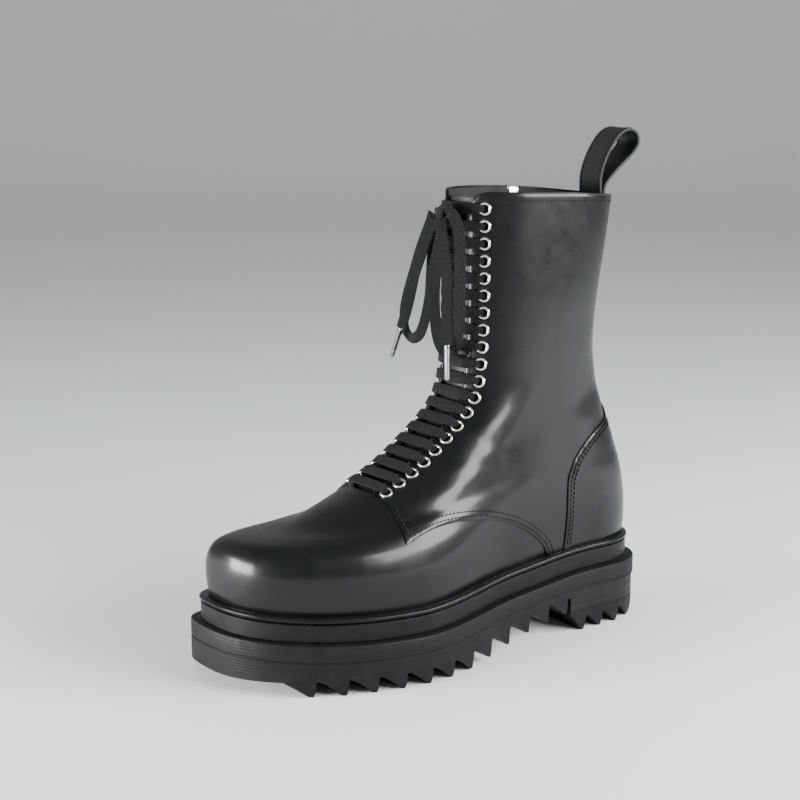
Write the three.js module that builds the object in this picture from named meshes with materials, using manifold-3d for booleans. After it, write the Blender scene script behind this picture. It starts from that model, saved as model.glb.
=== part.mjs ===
// A left platform boot with a saw-tooth sole, a derby-cut shaft, bar lacing, a side zip and a pull loop.
// Millimetres, +Z up. The toe points along -Y and the wearer's left, the outer side, is +X.
// The ground is z = 0 and the middle of the sole's length is y = 0.
import * as THREE from 'three';
import { mergeVertices } from 'three/addons/utils/BufferGeometryUtils.js';
import Module from 'manifold-3d';

const wasm = await Module();
wasm.setup();

// Driving sizes
const SOLE_LENGTH = 316;
const BALL_WIDTH = 110;
const WAIST_WIDTH = 86;
const HEEL_WIDTH = 75;
const TOE_SWING = 22;
const BALL_SHIFT = 6.7;
const CLEARANCE = 0.3;

const LEDGE_HEIGHT = 30.7;
const HEEL_RISE = 10;
const TOE_SPRING = 4.5;
const LUG_DEPTH = 9.5;
const LUG_PITCH = 17.9;
const LUG_COUNT = 12;
const FIRST_LUG = -120.3;
const LUG_TIP = 2.2;
const LUG_ROOT = 1.6;
const ARCH_LIFT = 15;
const HEEL_FRONT = 82;
const HEEL_SEAT = 28.5;
const TOP_LIFT = 14;
const HEEL_LUG_PITCH = 15.2;
const FIRST_HEEL_LUG = 94.5;
const HEEL_LUG_COUNT = 3;
const HEEL_INSET = 0.8;
const GROOVE_BELOW_LEDGE = 11;
const GROOVE_DEPTH = 0.7;

const MIDSOLE_THICKNESS = 11;
const MIDSOLE_INSET = 5;
const WELT_THICKNESS = 4.2;
const WELT_INSET = 4.2;
const UPPER_INSET = 9.2;
const INSOLE_THICKNESS = 3;

const SHAFT_HEIGHT = 245;
const UPPER_WALL = 2.3;
const VAMP_STEP = 1.3;
const COUNTER_STEP = 1.2;
const COLLAR_CORNER = 11;

const THROAT_HALF = 12;
const EYELET_HALF_SPAN = 20;
const EYELET_COUNT = 20;
const EYELET_PITCH = 10.8;
const TOP_EYELET_DOWN = 10;
const THROAT_BEYOND_EYELETS = 6;
const EYELET_HOLE = 2.5;
const EYELET_OUTER = 4.1;
const EYELET_BORE = 2.1;
const EYELET_HEIGHT = 0.9;

const TONGUE_HALF = 27;
const TONGUE_THICKNESS = 1.8;
const TONGUE_BELOW_COLLAR = 4;

const LACE_WIDTH = 7;
const LACE_THICKNESS = 1.4;
const AGLET_LENGTH = 22;
const AGLET_RADIUS = 2.1;

const ZIP_TOP = 88;
const ZIP_BOTTOM = 76;
const ZIP_LOW = 100;
const ZIP_SLIT = 9;
const ZIP_TAPE_THICKNESS = 1.2;

const LOOP_WIDTH = 21;
const LOOP_THICKNESS = 2;
const LOOP_SETBACK = 3.2;

const HALF_LENGTH = SOLE_LENGTH / 2;
const HALF_BALL = BALL_WIDTH / 2;

// Small helpers
function smooth(from, to, value) {
  const share = Math.min(1, Math.max(0, (value - from) / (to - from)));
  return share * share * (3 - 2 * share);
}

function mix(a, b, share) {
  return a + (b - a) * share;
}

function material(color, roughness, metalness = 0) {
  return new THREE.MeshStandardMaterial({ color, roughness, metalness });
}

const LEATHER = material(0x141416, 0.32);
const LINING = material(0x1c1b1c, 0.7);
const RUBBER = material(0x1a1a1c, 0.75);
const BAND = material(0x101012, 0.6);
const SHINE = material(0x0d0d0f, 0.2);
const STACK = material(0x171617, 0.6);
const LACE = material(0x17171a, 0.85);
const METAL = material(0xd8d8da, 0.2, 1);

// Manifold solids from geometries, and back
function solidOf(geometry) {
  const bare = geometry.clone();
  bare.deleteAttribute('normal');
  bare.deleteAttribute('uv');
  const merged = mergeVertices(bare, 1e-4);
  const vertProperties = new Float32Array(merged.attributes.position.array);
  const triVerts = new Uint32Array(merged.index.array);
  return new wasm.Manifold(new wasm.Mesh({ numProp: 3, vertProperties, triVerts }));
}

function geometryOf(solid) {
  const mesh = solid.getMesh();
  const geometry = new THREE.BufferGeometry();
  geometry.setAttribute('position', new THREE.BufferAttribute(new Float32Array(mesh.vertProperties), 3));
  geometry.setIndex(new THREE.BufferAttribute(new Uint32Array(mesh.triVerts), 1));
  geometry.computeVertexNormals();
  return geometry;
}

function closedGeometry(points, faces) {
  const geometry = new THREE.BufferGeometry();
  geometry.setAttribute('position', new THREE.Float32BufferAttribute(points.flat(), 3));
  geometry.setIndex(faces.flat());
  geometry.computeVertexNormals();
  return geometry;
}

// A tube-like solid from rings of points: each ring has as many points as the next.
// With closed = true the last ring joins the first, otherwise both ends are capped by fans.
function ringsGeometry(rings, closed = false) {
  const around = rings[0].length;
  const faces = [];
  const ringCount = rings.length;
  const spans = closed ? ringCount : ringCount - 1;
  for (let i = 0; i < spans; i += 1) {
    const here = i * around;
    const next = ((i + 1) % ringCount) * around;
    for (let j = 0; j < around; j += 1) {
      const k = (j + 1) % around;
      faces.push([here + j, here + k, next + k], [here + j, next + k, next + j]);
    }
  }
  if (!closed) {
    const last = (ringCount - 1) * around;
    for (let j = 1; j < around - 1; j += 1) {
      faces.push([0, j + 1, j], [last, last + j, last + j + 1]);
    }
  }
  return closedGeometry(rings.flat(), faces);
}

// Plan outlines, from the front end (share 0) to the back end (share 1) of a row
const CAP_FRONT_SHARE = 0.38;
const CAP_BACK_SHARE = 0.72;
const AROUND = 36;
const ROW_STEP = 1;

function centreLine(y, lowness) {
  const share = (y + HALF_LENGTH) / SOLE_LENGTH;
  const toeward = Math.max(0, (0.36 - share) / 0.36);
  const sole = toeward > 0
    ? mix(BALL_SHIFT, -TOE_SWING, toeward ** 1.6)
    : BALL_SHIFT * (1 - smooth(0.36, 0.75, share));
  const crest = -TOE_SWING * 0.8 * Math.max(0, (0.36 - share) / 0.36) ** 1.6;
  return mix(crest, sole, lowness);
}

function planPoint(row, share, side) {
  const length = row.back - row.front;
  const capFront = row.capFront * length;
  const capBack = row.capBack * length;
  let y;
  let fullness = 1;
  if (share < CAP_FRONT_SHARE) {
    const turn = (share / CAP_FRONT_SHARE) * Math.PI / 2;
    y = row.front + capFront * (1 - Math.cos(turn) ** (2 / row.squareFront));
    fullness = Math.sin(turn) ** (2 / row.squareFront);
  } else if (share < CAP_BACK_SHARE) {
    const along = (share - CAP_FRONT_SHARE) / (CAP_BACK_SHARE - CAP_FRONT_SHARE);
    y = mix(row.front + capFront, row.back - capBack, along);
  } else {
    const turn = ((share - CAP_BACK_SHARE) / (1 - CAP_BACK_SHARE)) * Math.PI / 2;
    y = row.back - capBack * (1 - Math.sin(turn) ** (2 / row.squareBack));
    fullness = Math.cos(turn) ** (2 / row.squareBack);
  }
  if (share === 1) {
    fullness = 0;
  }
  const station = (y + HALF_LENGTH) / SOLE_LENGTH;
  const toWaist = mix(row.ball, row.waist, smooth(0.34, 0.62, station));
  const half = mix(toWaist, row.heel, smooth(0.62, 0.85, station));
  return { x: centreLine(y, row.lowness) + side * fullness * half, y };
}

// Loop position u: 0 is the front centre, 0.25 the lateral side, 0.5 the back, 0.75 the medial side
function planAt(row, u) {
  const wrapped = u - Math.floor(u);
  return wrapped <= 0.5 ? planPoint(row, wrapped * 2, 1) : planPoint(row, (1 - wrapped) * 2, -1);
}

function solePlan(inset) {
  return {
    front: -HALF_LENGTH + inset,
    back: HALF_LENGTH - inset,
    capFront: 0.34,
    capBack: 0.15,
    squareFront: 2.9,
    squareBack: 2.3,
    ball: HALF_BALL - inset,
    waist: WAIST_WIDTH / 2 - inset,
    heel: HEEL_WIDTH / 2 - inset,
    lowness: 1,
  };
}

// Heights of the sole's layers along its length
function ledgeHeight(y) {
  const toeward = Math.max(0, (-y / HALF_LENGTH - 0.44) / 0.56);
  return LEDGE_HEIGHT + HEEL_RISE * smooth(-0.38 * HALF_LENGTH, 0.7 * HALF_LENGTH, y) + TOE_SPRING * toeward ** 2;
}

function featherHeight(y) {
  return ledgeHeight(y) + CLEARANCE + MIDSOLE_THICKNESS + CLEARANCE;
}

function soleBottom(y) {
  return ARCH_LIFT * smooth(FIRST_LUG + LUG_PITCH * 5.6, HEEL_FRONT, y) ** 0.8;
}

// A solid stacked from plan outlines; each level has an inset and a height above the ledge
function stackedSolid(levels, heightAt = ledgeHeight) {
  const points = [];
  const faces = [];
  for (const level of levels) {
    const plan = solePlan(level.inset);
    for (let i = 0; i < AROUND; i += 1) {
      const { x, y } = planAt(plan, i / AROUND);
      points.push([x, y, level.flat ?? heightAt(y) + level.above]);
    }
  }
  for (let r = 0; r < levels.length - 1; r += 1) {
    for (let i = 0; i < AROUND; i += 1) {
      const j = (i + 1) % AROUND;
      const low = r * AROUND;
      const high = low + AROUND;
      faces.push([low + i, low + j, high + j], [low + i, high + j, high + i]);
    }
  }
  capRows(faces, 0, false);
  capRows(faces, (levels.length - 1) * AROUND, true);
  return closedGeometry(points, faces);
}

// Cross strips between the two sides of a plan outline
function capRows(faces, start, facingUp) {
  const half = AROUND / 2;
  for (let i = 0; i < half; i += 1) {
    const a = start + i;
    const b = start + i + 1;
    const c = start + ((AROUND - i - 1) % AROUND);
    const d = start + ((AROUND - i) % AROUND);
    for (const [p, q, r] of [[a, b, d], [d, b, c]]) {
      if (p !== q && q !== r && p !== r) {
        faces.push(facingUp ? [p, q, r] : [p, r, q]);
      }
    }
  }
}

// A prism whose outline lies in the side view (y, z) and which runs along X
function sidePrism(outline, fromX, toX) {
  const shape = new THREE.Shape(outline.map(([y, z]) => new THREE.Vector2(y, z)));
  const geometry = new THREE.ExtrudeGeometry(shape, { depth: toX - fromX, bevelEnabled: false, steps: 1 });
  const turn = new THREE.Matrix4().set(
    0, 0, 1, fromX,
    1, 0, 0, 0,
    0, 1, 0, 0,
    0, 0, 0, 1,
  );
  geometry.applyMatrix4(turn);
  return geometry;
}

const WIDE = BALL_WIDTH;

// Outsole: plain wall with a groove and a ledge, and saw teeth across the bottom
function lugProfile() {
  const outline = [];
  const rootAt = (y) => soleBottom(y) + LUG_DEPTH;
  outline.push([-SOLE_LENGTH, rootAt(-HALF_LENGTH)]);
  for (let i = 0; i < LUG_COUNT; i += 1) {
    const tip = FIRST_LUG + i * LUG_PITCH;
    const tipHeight = soleBottom(tip);
    const start = tip - LUG_PITCH + LUG_ROOT + LUG_TIP / 2 + 0.9;
    outline.push([start, rootAt(start)]);
    outline.push([tip - LUG_TIP / 2, tipHeight]);
    outline.push([tip + LUG_TIP / 2, tipHeight]);
    outline.push([tip + LUG_TIP / 2 + 0.9, rootAt(tip)]);
  }
  outline.push([HEEL_FRONT - CLEARANCE, rootAt(HEEL_FRONT)]);
  outline.push([HEEL_FRONT - CLEARANCE, HEEL_SEAT + CLEARANCE]);
  outline.push([SOLE_LENGTH, HEEL_SEAT + CLEARANCE]);
  outline.push([SOLE_LENGTH, SOLE_LENGTH], [-SOLE_LENGTH, SOLE_LENGTH]);
  return outline;
}

function outsole() {
  const wall = stackedSolid([
    { inset: 1.2, flat: -1 },
    { inset: 0, flat: 6 },
    { inset: 0, above: -GROOVE_BELOW_LEDGE - GROOVE_DEPTH * 2 },
    { inset: GROOVE_DEPTH, above: -GROOVE_BELOW_LEDGE - GROOVE_DEPTH },
    { inset: 0, above: -GROOVE_BELOW_LEDGE },
    { inset: 0, above: -1.2 },
    { inset: 1.2, above: 0 },
  ]);
  const profile = sidePrism(lugProfile(), -WIDE, WIDE);
  return geometryOf(solidOf(wall).intersect(solidOf(profile)));
}

// Heel block and its rubber top lift
function heelWall() {
  return solidOf(stackedSolid([
    { inset: HEEL_INSET + 1.5, flat: -1 },
    { inset: HEEL_INSET, flat: TOP_LIFT },
    { inset: HEEL_INSET, flat: HEEL_SEAT + 1 },
  ]));
}

function heelBlock() {
  const outline = [
    [HEEL_FRONT, TOP_LIFT + CLEARANCE],
    [SOLE_LENGTH, TOP_LIFT + CLEARANCE],
    [SOLE_LENGTH, HEEL_SEAT],
    [HEEL_FRONT, HEEL_SEAT],
  ];
  return geometryOf(heelWall().intersect(solidOf(sidePrism(outline, -WIDE, WIDE))));
}

function heelTopLift() {
  const outline = [[HEEL_FRONT, TOP_LIFT]];
  for (let i = 0; i < HEEL_LUG_COUNT; i += 1) {
    const tip = FIRST_HEEL_LUG + i * HEEL_LUG_PITCH;
    const root = i === 0 ? [HEEL_FRONT, TOP_LIFT - 2] : [tip - HEEL_LUG_PITCH + LUG_TIP / 2 + 2.4, LUG_DEPTH];
    outline.push(root, [tip - LUG_TIP / 2, 0], [tip + LUG_TIP / 2, 0], [tip + LUG_TIP / 2 + 1.2, LUG_DEPTH]);
  }
  const last = FIRST_HEEL_LUG + HEEL_LUG_COUNT * HEEL_LUG_PITCH;
  outline.push([last - HEEL_LUG_PITCH + LUG_TIP / 2 + 2.4, LUG_DEPTH], [last - LUG_TIP / 2, 0]);
  outline.push([SOLE_LENGTH, 0], [SOLE_LENGTH, TOP_LIFT]);
  return geometryOf(heelWall().intersect(solidOf(sidePrism(outline, -WIDE, WIDE))));
}

function midsole() {
  const top = CLEARANCE + MIDSOLE_THICKNESS;
  return stackedSolid([
    { inset: MIDSOLE_INSET, above: CLEARANCE },
    { inset: MIDSOLE_INSET, above: top },
  ]);
}

// Welt: a rounded ring round the foot of the upper
function welt() {
  const foot = MIDSOLE_THICKNESS + CLEARANCE * 2;
  const inner = UPPER_INSET - 1.3;
  const section = [
    { inset: inner, above: foot },
    { inset: WELT_INSET + 0.5, above: foot },
    { inset: WELT_INSET, above: foot + WELT_THICKNESS * 0.35 },
    { inset: WELT_INSET + 0.1, above: foot + WELT_THICKNESS * 0.65 },
    { inset: WELT_INSET + 0.9, above: foot + WELT_THICKNESS * 0.92 },
    { inset: WELT_INSET + 2.1, above: foot + WELT_THICKNESS },
    { inset: inner, above: foot + WELT_THICKNESS * 0.8 },
  ];
  const rings = section.map(({ inset, above }) => {
    const plan = solePlan(inset);
    const ring = [];
    for (let i = 0; i < AROUND; i += 1) {
      const { x, y } = planAt(plan, i / AROUND);
      ring.push([x, y, ledgeHeight(y) + above]);
    }
    return ring;
  });
  return ringsGeometry(rings, true);
}

function insole() {
  const inset = UPPER_INSET + UPPER_WALL + 0.7;
  const foot = MIDSOLE_THICKNESS + CLEARANCE * 2 + 0.05;
  return stackedSolid([
    { inset, above: foot },
    { inset, above: foot + INSOLE_THICKNESS },
  ]);
}

// The last: rows from the feather line (row 0) to the collar (last row).
// front and back are shares of half the feather line's length, riseFront and riseBack of the shaft's height,
// ball, waist and heel of the feather line's half width there, and caps of the row's own length.
const COLUMNS = [
  'front', 'riseFront', 'back', 'riseBack', 'capFront', 'capBack',
  'squareFront', 'squareBack', 'ball', 'waist', 'heel', 'lowness',
];
const ROWS = [
  [-1, 0, 1, 0, 0.34, 0.15, 2.9, 2.3, 1, 1, 1, 1],
  [-1.015, 0.045, 1.008, 0.05, 0.345, 0.15, 2.9, 2.3, 1.033, 1.058, 1.075, 1],
  [-1.016, 0.108, 1.002, 0.11, 0.35, 0.155, 2.9, 2.3, 1.047, 1.107, 1.147, 0.9],
  [-0.995, 0.152, 0.988, 0.171, 0.355, 0.16, 2.7, 2.3, 1.015, 1.115, 1.162, 0.75],
  [-0.943, 0.177, 0.969, 0.22, 0.355, 0.165, 2.4, 2.3, 0.961, 1.11, 1.156, 0.6],
  [-0.839, 0.19, 0.945, 0.265, 0.36, 0.175, 2.2, 2.25, 0.919, 1.098, 1.137, 0.45],
  [-0.701, 0.206, 0.922, 0.31, 0.375, 0.19, 2.1, 2.2, 0.877, 1.077, 1.123, 0.3],
  [-0.563, 0.243, 0.895, 0.355, 0.4, 0.22, 2, 2.15, 0.853, 1.054, 1.117, 0.15],
  [-0.425, 0.276, 0.871, 0.4, 0.42, 0.26, 2, 2.1, 0.829, 1.033, 1.123, 0],
  [-0.282, 0.316, 0.849, 0.44, 0.44, 0.31, 2, 2.1, 0.805, 1.017, 1.137, 0],
  [-0.135, 0.373, 0.832, 0.482, 0.45, 0.36, 2.05, 2.1, 0.781, 1.006, 1.162, 0],
  [-0.02, 0.424, 0.821, 0.522, 0.455, 0.41, 2.05, 2.1, 0.769, 1.006, 1.186, 0],
  [0.053, 0.482, 0.815, 0.563, 0.46, 0.45, 2.1, 2.1, 0.769, 1.012, 1.209, 0],
  [0.078, 0.563, 0.82, 0.633, 0.47, 0.47, 2.1, 2.1, 0.775, 1.028, 1.228, 0],
  [0.089, 0.673, 0.843, 0.727, 0.48, 0.48, 2.1, 2.1, 0.781, 1.05, 1.254, 0],
  [0.09, 0.836, 0.877, 0.837, 0.48, 0.48, 2.1, 2.1, 0.793, 1.066, 1.273, 0],
  [0.09, 1, 0.907, 0.943, 0.48, 0.48, 2.1, 2.1, 0.799, 1.074, 1.283, 0],
].map((values) => Object.fromEntries(COLUMNS.map((name, i) => [name, values[i]])));
const LAST_ROW = ROWS.length - 1;

function curveThrough(a, b, c, d, share) {
  const square = share * share;
  const cube = square * share;
  return 0.5 * (2 * b + (c - a) * share + (2 * a - 5 * b + 4 * c - d) * square + (3 * b - a - 3 * c + d) * cube);
}

function rowAt(v) {
  const place = Math.min(LAST_ROW, Math.max(0, v));
  const index = Math.min(LAST_ROW - 1, Math.floor(place));
  const share = place - index;
  const before = ROWS[Math.max(0, index - 1)];
  const after = ROWS[Math.min(LAST_ROW, index + 2)];
  const row = {};
  for (const name of COLUMNS) {
    row[name] = curveThrough(before[name], ROWS[index][name], ROWS[index + 1][name], after[name], share);
  }
  row.front *= HALF_LENGTH - UPPER_INSET;
  row.back *= HALF_LENGTH - UPPER_INSET;
  row.ball *= HALF_BALL - UPPER_INSET;
  row.waist *= WAIST_WIDTH / 2 - UPPER_INSET;
  row.heel *= HEEL_WIDTH / 2 - UPPER_INSET;
  return row;
}

function lastPoint(v, u) {
  const row = rowAt(v);
  const { x, y } = planAt(row, u);
  const along = (y - row.front) / (row.back - row.front);
  const rise = mix(row.riseFront, row.riseBack, along) * SHAFT_HEIGHT;
  return new THREE.Vector3(x, y, featherHeight(y) + rise);
}

function lastNormal(v, u) {
  const around = 0.004;
  const up = 0.05;
  const alongU = lastPoint(v, u + around).sub(lastPoint(v, u - around));
  const alongV = lastPoint(Math.min(LAST_ROW, v + up), u).sub(lastPoint(Math.max(0, v - up), u));
  return alongU.cross(alongV).normalize();
}

function offPoint(v, u, offset) {
  return lastPoint(v, u).addScaledVector(lastNormal(v, u), offset);
}

// A layer of the shell between two offsets from the last, from row v0 to row v1
function layerGeometry(outer, inner, v0, v1) {
  const rowCount = Math.round((v1 - v0) / ROW_STEP);
  const points = [];
  const faces = [];
  const rings = [];
  for (let r = 0; r <= rowCount; r += 1) {
    rings.push([mix(v0, v1, r / rowCount), outer]);
  }
  for (let r = rowCount; r >= 0; r -= 1) {
    rings.push([mix(v0, v1, r / rowCount), inner]);
  }
  const floor = v0 === 0;
  for (const [v, offset] of rings) {
    for (let i = 0; i < AROUND; i += 1) {
      const point = offPoint(v, i / AROUND, offset);
      if (floor && v === 0) {
        point.z = lastPoint(0, i / AROUND).z;
      }
      points.push(point.toArray());
    }
  }
  for (let r = 0; r < rings.length; r += 1) {
    const low = r * AROUND;
    const high = ((r + 1) % rings.length) * AROUND;
    for (let i = 0; i < AROUND; i += 1) {
      const j = (i + 1) % AROUND;
      faces.push([low + i, low + j, high + j], [low + i, high + j, high + i]);
    }
  }
  return closedGeometry(points, faces);
}

// Places on the lateral lacing line, by the distance down from the collar
const FACING_STEPS = 120;

function loopPlaceAtHalfWidth(v, half) {
  let low = 0;
  let high = 0.22;
  for (let i = 0; i < 30; i += 1) {
    const middle = (low + high) / 2;
    if (lastPoint(v, middle).x < half) {
      low = middle;
    } else {
      high = middle;
    }
  }
  return (low + high) / 2;
}

function facingTable() {
  const table = [];
  let down = 0;
  let previous = null;
  for (let i = 0; i <= FACING_STEPS; i += 1) {
    const v = LAST_ROW - (i / FACING_STEPS) * (LAST_ROW - 6);
    const point = lastPoint(v, loopPlaceAtHalfWidth(v, EYELET_HALF_SPAN));
    if (previous) {
      down += point.distanceTo(previous);
    }
    table.push({ v, down });
    previous = point;
  }
  return table;
}

const FACING = facingTable();

function rowDown(distance) {
  for (let i = 1; i < FACING.length; i += 1) {
    if (FACING[i].down >= distance) {
      const a = FACING[i - 1];
      const b = FACING[i];
      return mix(a.v, b.v, (distance - a.down) / (b.down - a.down));
    }
  }
  return FACING[FACING.length - 1].v;
}

function eyeletPlace(index, side) {
  const v = rowDown(TOP_EYELET_DOWN + (EYELET_COUNT - 1 - index) * EYELET_PITCH);
  const u = loopPlaceAtHalfWidth(v, EYELET_HALF_SPAN);
  const turned = side > 0 ? u : 1 - u;
  const point = lastPoint(v, turned);
  const normal = lastNormal(v, turned);
  return { v, u: turned, point, normal, seat: CLEARANCE + hollowAt(v, turned, point, normal, EYELET_OUTER) * 1.7 };
}

// How far the wall rises above its tangent plane within a radius, so that a flat ring clears a hollow bend
function hollowAt(v, u, point, normal, radius) {
  const step = 0.05;
  const perRow = lastPoint(v + step, u).distanceTo(lastPoint(v - step, u)) / (2 * step);
  const perTurn = lastPoint(v, u + 0.002).distanceTo(lastPoint(v, u - 0.002)) / 0.004;
  let rise = 0;
  for (let i = 0; i < 12; i += 1) {
    const turn = (i / 12) * Math.PI * 2;
    const place = lastPoint(v + Math.sin(turn) * radius / perRow, u + Math.cos(turn) * radius / perTurn);
    rise = Math.max(rise, place.sub(point).dot(normal));
  }
  return rise * 1.5 + 0.25;
}

const THROAT_LENGTH = TOP_EYELET_DOWN + (EYELET_COUNT - 1) * EYELET_PITCH + THROAT_BEYOND_EYELETS;

// A band that follows the front ridge, in the side view, between two offsets from it
function frontBand(outer, inner, fromV, toV, beyond, half) {
  const steps = 16;
  const front = [];
  const rear = [];
  for (let i = 0; i <= steps; i += 1) {
    const v = mix(fromV, toV, i / steps);
    const point = lastPoint(v, 0);
    const normal = lastNormal(v, 0);
    front.push([point.y + normal.y * outer, point.z + normal.z * outer]);
    rear.push([point.y + normal.y * inner, point.z + normal.z * inner]);
  }
  front.push([front[steps][0], front[steps][1] + beyond]);
  rear.push([rear[steps][0], rear[steps][1] + beyond]);
  return sidePrism([...rear, ...front.reverse()], -half, half);
}

// Regions of the upper in the side view
// The quarters' derby edge behind the throat: back is a share of half the sole's length and
// up a share of the shaft's height above the feather line under the throat
const QUARTER_EDGE = [
  { back: 0.093, up: 0.262 },
  { back: 0.087, up: 0.178 },
  { back: 0.165, up: 0.194 },
  { back: 0.25, up: 0.204 },
  { back: 0.37, up: 0.205 },
  { back: 0.49, up: 0.195 },
  { back: 0.59, up: 0.177 },
  { back: 0.683, up: 0.153 },
  { back: 0.755, up: 0.125 },
  { back: 0.809, up: 0.098 },
  { back: 0.848, up: 0.073 },
];
const QUARTER_FOOT = 0.024;

function vampRegion() {
  const top = featherHeight(-HALF_LENGTH * 0.3);
  const throat = lastPoint(rowDown(THROAT_LENGTH + 1), 0);
  const front = throat.y + HALF_LENGTH * QUARTER_EDGE[0].back;
  return [
    [-SOLE_LENGTH, top + SHAFT_HEIGHT * 0.41],
    [front, throat.z + SHAFT_HEIGHT * 0.12],
    ...QUARTER_EDGE.map(({ back, up }) => [throat.y + HALF_LENGTH * back, top + SHAFT_HEIGHT * up]),
  ];
}

function weltTop(y) {
  return featherHeight(y) + WELT_THICKNESS + CLEARANCE;
}

function vampCutter() {
  const edge = vampRegion();
  const floor = [];
  const steps = 14;
  const end = edge[edge.length - 1][0] + HALF_LENGTH * QUARTER_FOOT;
  for (let i = 0; i <= steps; i += 1) {
    const y = mix(end, -HALF_LENGTH, i / steps);
    floor.push([y, weltTop(y)]);
  }
  floor.push([-SOLE_LENGTH, weltTop(-HALF_LENGTH)]);
  return solidOf(layerGeometry(VAMP_STEP * 2, -VAMP_STEP, 0, 12))
    .intersect(solidOf(sidePrism([...edge, ...floor], -WIDE, WIDE)));
}

// The counter's front edge, from the bottom up, in the same shares behind its foot and above the feather line
const COUNTER_FRONT = 0.513;
const COUNTER_EDGE = [
  { back: 0, up: 0.19 },
  { back: 0.02, up: 0.235 },
  { back: 0.055, up: 0.27 },
  { back: 0.115, up: 0.305 },
  { back: 0.19, up: 0.332 },
  { back: 0.285, up: 0.352 },
];

function counterPatch() {
  const front = HALF_LENGTH * COUNTER_FRONT;
  const foot = featherHeight(front);
  const edge = [
    [front, weltTop(front)],
    [HALF_LENGTH * 0.75, weltTop(HALF_LENGTH * 0.75)],
    [HALF_LENGTH, weltTop(HALF_LENGTH)],
    [HALF_LENGTH * 1.1, weltTop(HALF_LENGTH)],
    [HALF_LENGTH * 1.1, foot + SHAFT_HEIGHT * 0.408],
    ...COUNTER_EDGE.map(({ back, up }) => [front + HALF_LENGTH * back, foot + SHAFT_HEIGHT * up]).reverse(),
  ];
  return solidOf(layerGeometry(COUNTER_STEP, -0.6, 0, 12))
    .intersect(solidOf(sidePrism(edge, -WIDE, WIDE)));
}

// The zip's slit on the medial side
function zipOutline(half, low, high) {
  const slope = (ZIP_TOP - ZIP_BOTTOM) / (collarHeight() - ZIP_LOW);
  const at = (z) => ZIP_BOTTOM + (z - ZIP_LOW) * slope;
  return [
    [at(low) - half, low],
    [at(low) + half, low],
    [at(high) + half, high],
    [at(high) - half, high],
  ];
}

function collarHeight() {
  return featherHeight(0) + SHAFT_HEIGHT;
}

function zipCutter(half, low, high) {
  return solidOf(sidePrism(zipOutline(half, low, high), -WIDE, -2));
}

// Rounded front corners of the collar, cut in the front view
function cornerCutter(side) {
  const corner = lastPoint(LAST_ROW, 0.06);
  const inner = THROAT_HALF - 0.5;
  const centre = new THREE.Vector2(inner + COLLAR_CORNER, corner.z - COLLAR_CORNER);
  const outline = [new THREE.Vector2(inner - 2, centre.y), new THREE.Vector2(inner, centre.y)];
  const steps = 6;
  for (let i = 1; i <= steps; i += 1) {
    const turn = Math.PI - (i / steps) * Math.PI / 2;
    outline.push(new THREE.Vector2(
      centre.x + COLLAR_CORNER * Math.cos(turn),
      centre.y + COLLAR_CORNER * Math.sin(turn),
    ));
  }
  outline.push(new THREE.Vector2(centre.x, corner.z + 20), new THREE.Vector2(inner - 2, corner.z + 20));
  const shape = new THREE.Shape(outline.map((point) => new THREE.Vector2(point.x * side, point.y)));
  const geometry = new THREE.ExtrudeGeometry(shape, { depth: 70, bevelEnabled: false, steps: 1 });
  geometry.rotateX(Math.PI / 2);
  geometry.translate(0, 50, 0);
  return solidOf(geometry);
}

function holeCutters() {
  let all = null;
  for (let i = 0; i < EYELET_COUNT; i += 1) {
    for (const side of [1, -1]) {
      const { point, normal } = eyeletPlace(i, side);
      const bore = new THREE.CylinderGeometry(EYELET_HOLE, EYELET_HOLE, 12, 6);
      const turn = new THREE.Quaternion().setFromUnitVectors(new THREE.Vector3(0, 1, 0), normal);
      bore.applyQuaternion(turn);
      bore.translate(point.x, point.y, point.z);
      const cutter = solidOf(bore);
      all = all ? all.add(cutter) : cutter;
    }
  }
  return all;
}

function upper() {
  const throatStart = rowDown(THROAT_LENGTH);
  let shell = solidOf(layerGeometry(0, -UPPER_WALL, 0, LAST_ROW));
  shell = shell.subtract(vampCutter());
  shell = shell.add(counterPatch());
  shell = shell.subtract(solidOf(frontBand(20, -10, throatStart, LAST_ROW, 30, THROAT_HALF)));
  shell = shell.subtract(holeCutters());
  shell = shell.subtract(cornerCutter(1));
  shell = shell.subtract(cornerCutter(-1));
  shell = shell.subtract(zipCutter(ZIP_SLIT / 2, ZIP_LOW, collarHeight() + 20));
  return geometryOf(shell);
}

function tongue() {
  const outer = -(UPPER_WALL + 0.8);
  const start = rowDown(THROAT_LENGTH + 16);
  const layer = solidOf(layerGeometry(outer, outer - TONGUE_THICKNESS, 5, LAST_ROW));
  const region = solidOf(frontBand(20, -34, start, LAST_ROW - 0.05, 0, TONGUE_HALF));
  const top = solidOf(sidePrism([
    [-HALF_LENGTH, 0],
    [HALF_LENGTH, 0],
    [HALF_LENGTH, collarHeight() - TONGUE_BELOW_COLLAR],
    [-HALF_LENGTH, collarHeight() - TONGUE_BELOW_COLLAR],
  ], -WIDE, WIDE));
  return geometryOf(layer.intersect(region).intersect(top));
}

// Eyelet rings seated on the outer face
function eyelet(index, side) {
  const profile = [
    new THREE.Vector2(EYELET_BORE, 0),
    new THREE.Vector2(EYELET_OUTER, 0),
    new THREE.Vector2(EYELET_OUTER - 0.6, EYELET_HEIGHT),
    new THREE.Vector2(EYELET_BORE + 0.3, EYELET_HEIGHT),
    new THREE.Vector2(EYELET_BORE, 0),
  ];
  const geometry = new THREE.LatheGeometry(profile, 7);
  const { point, normal, seat } = eyeletPlace(index, side);
  const mesh = new THREE.Mesh(geometryOf(solidOf(geometry)), METAL);
  mesh.quaternion.setFromUnitVectors(new THREE.Vector3(0, 1, 0), normal);
  mesh.position.copy(point).addScaledVector(normal, seat);
  return mesh;
}

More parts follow.
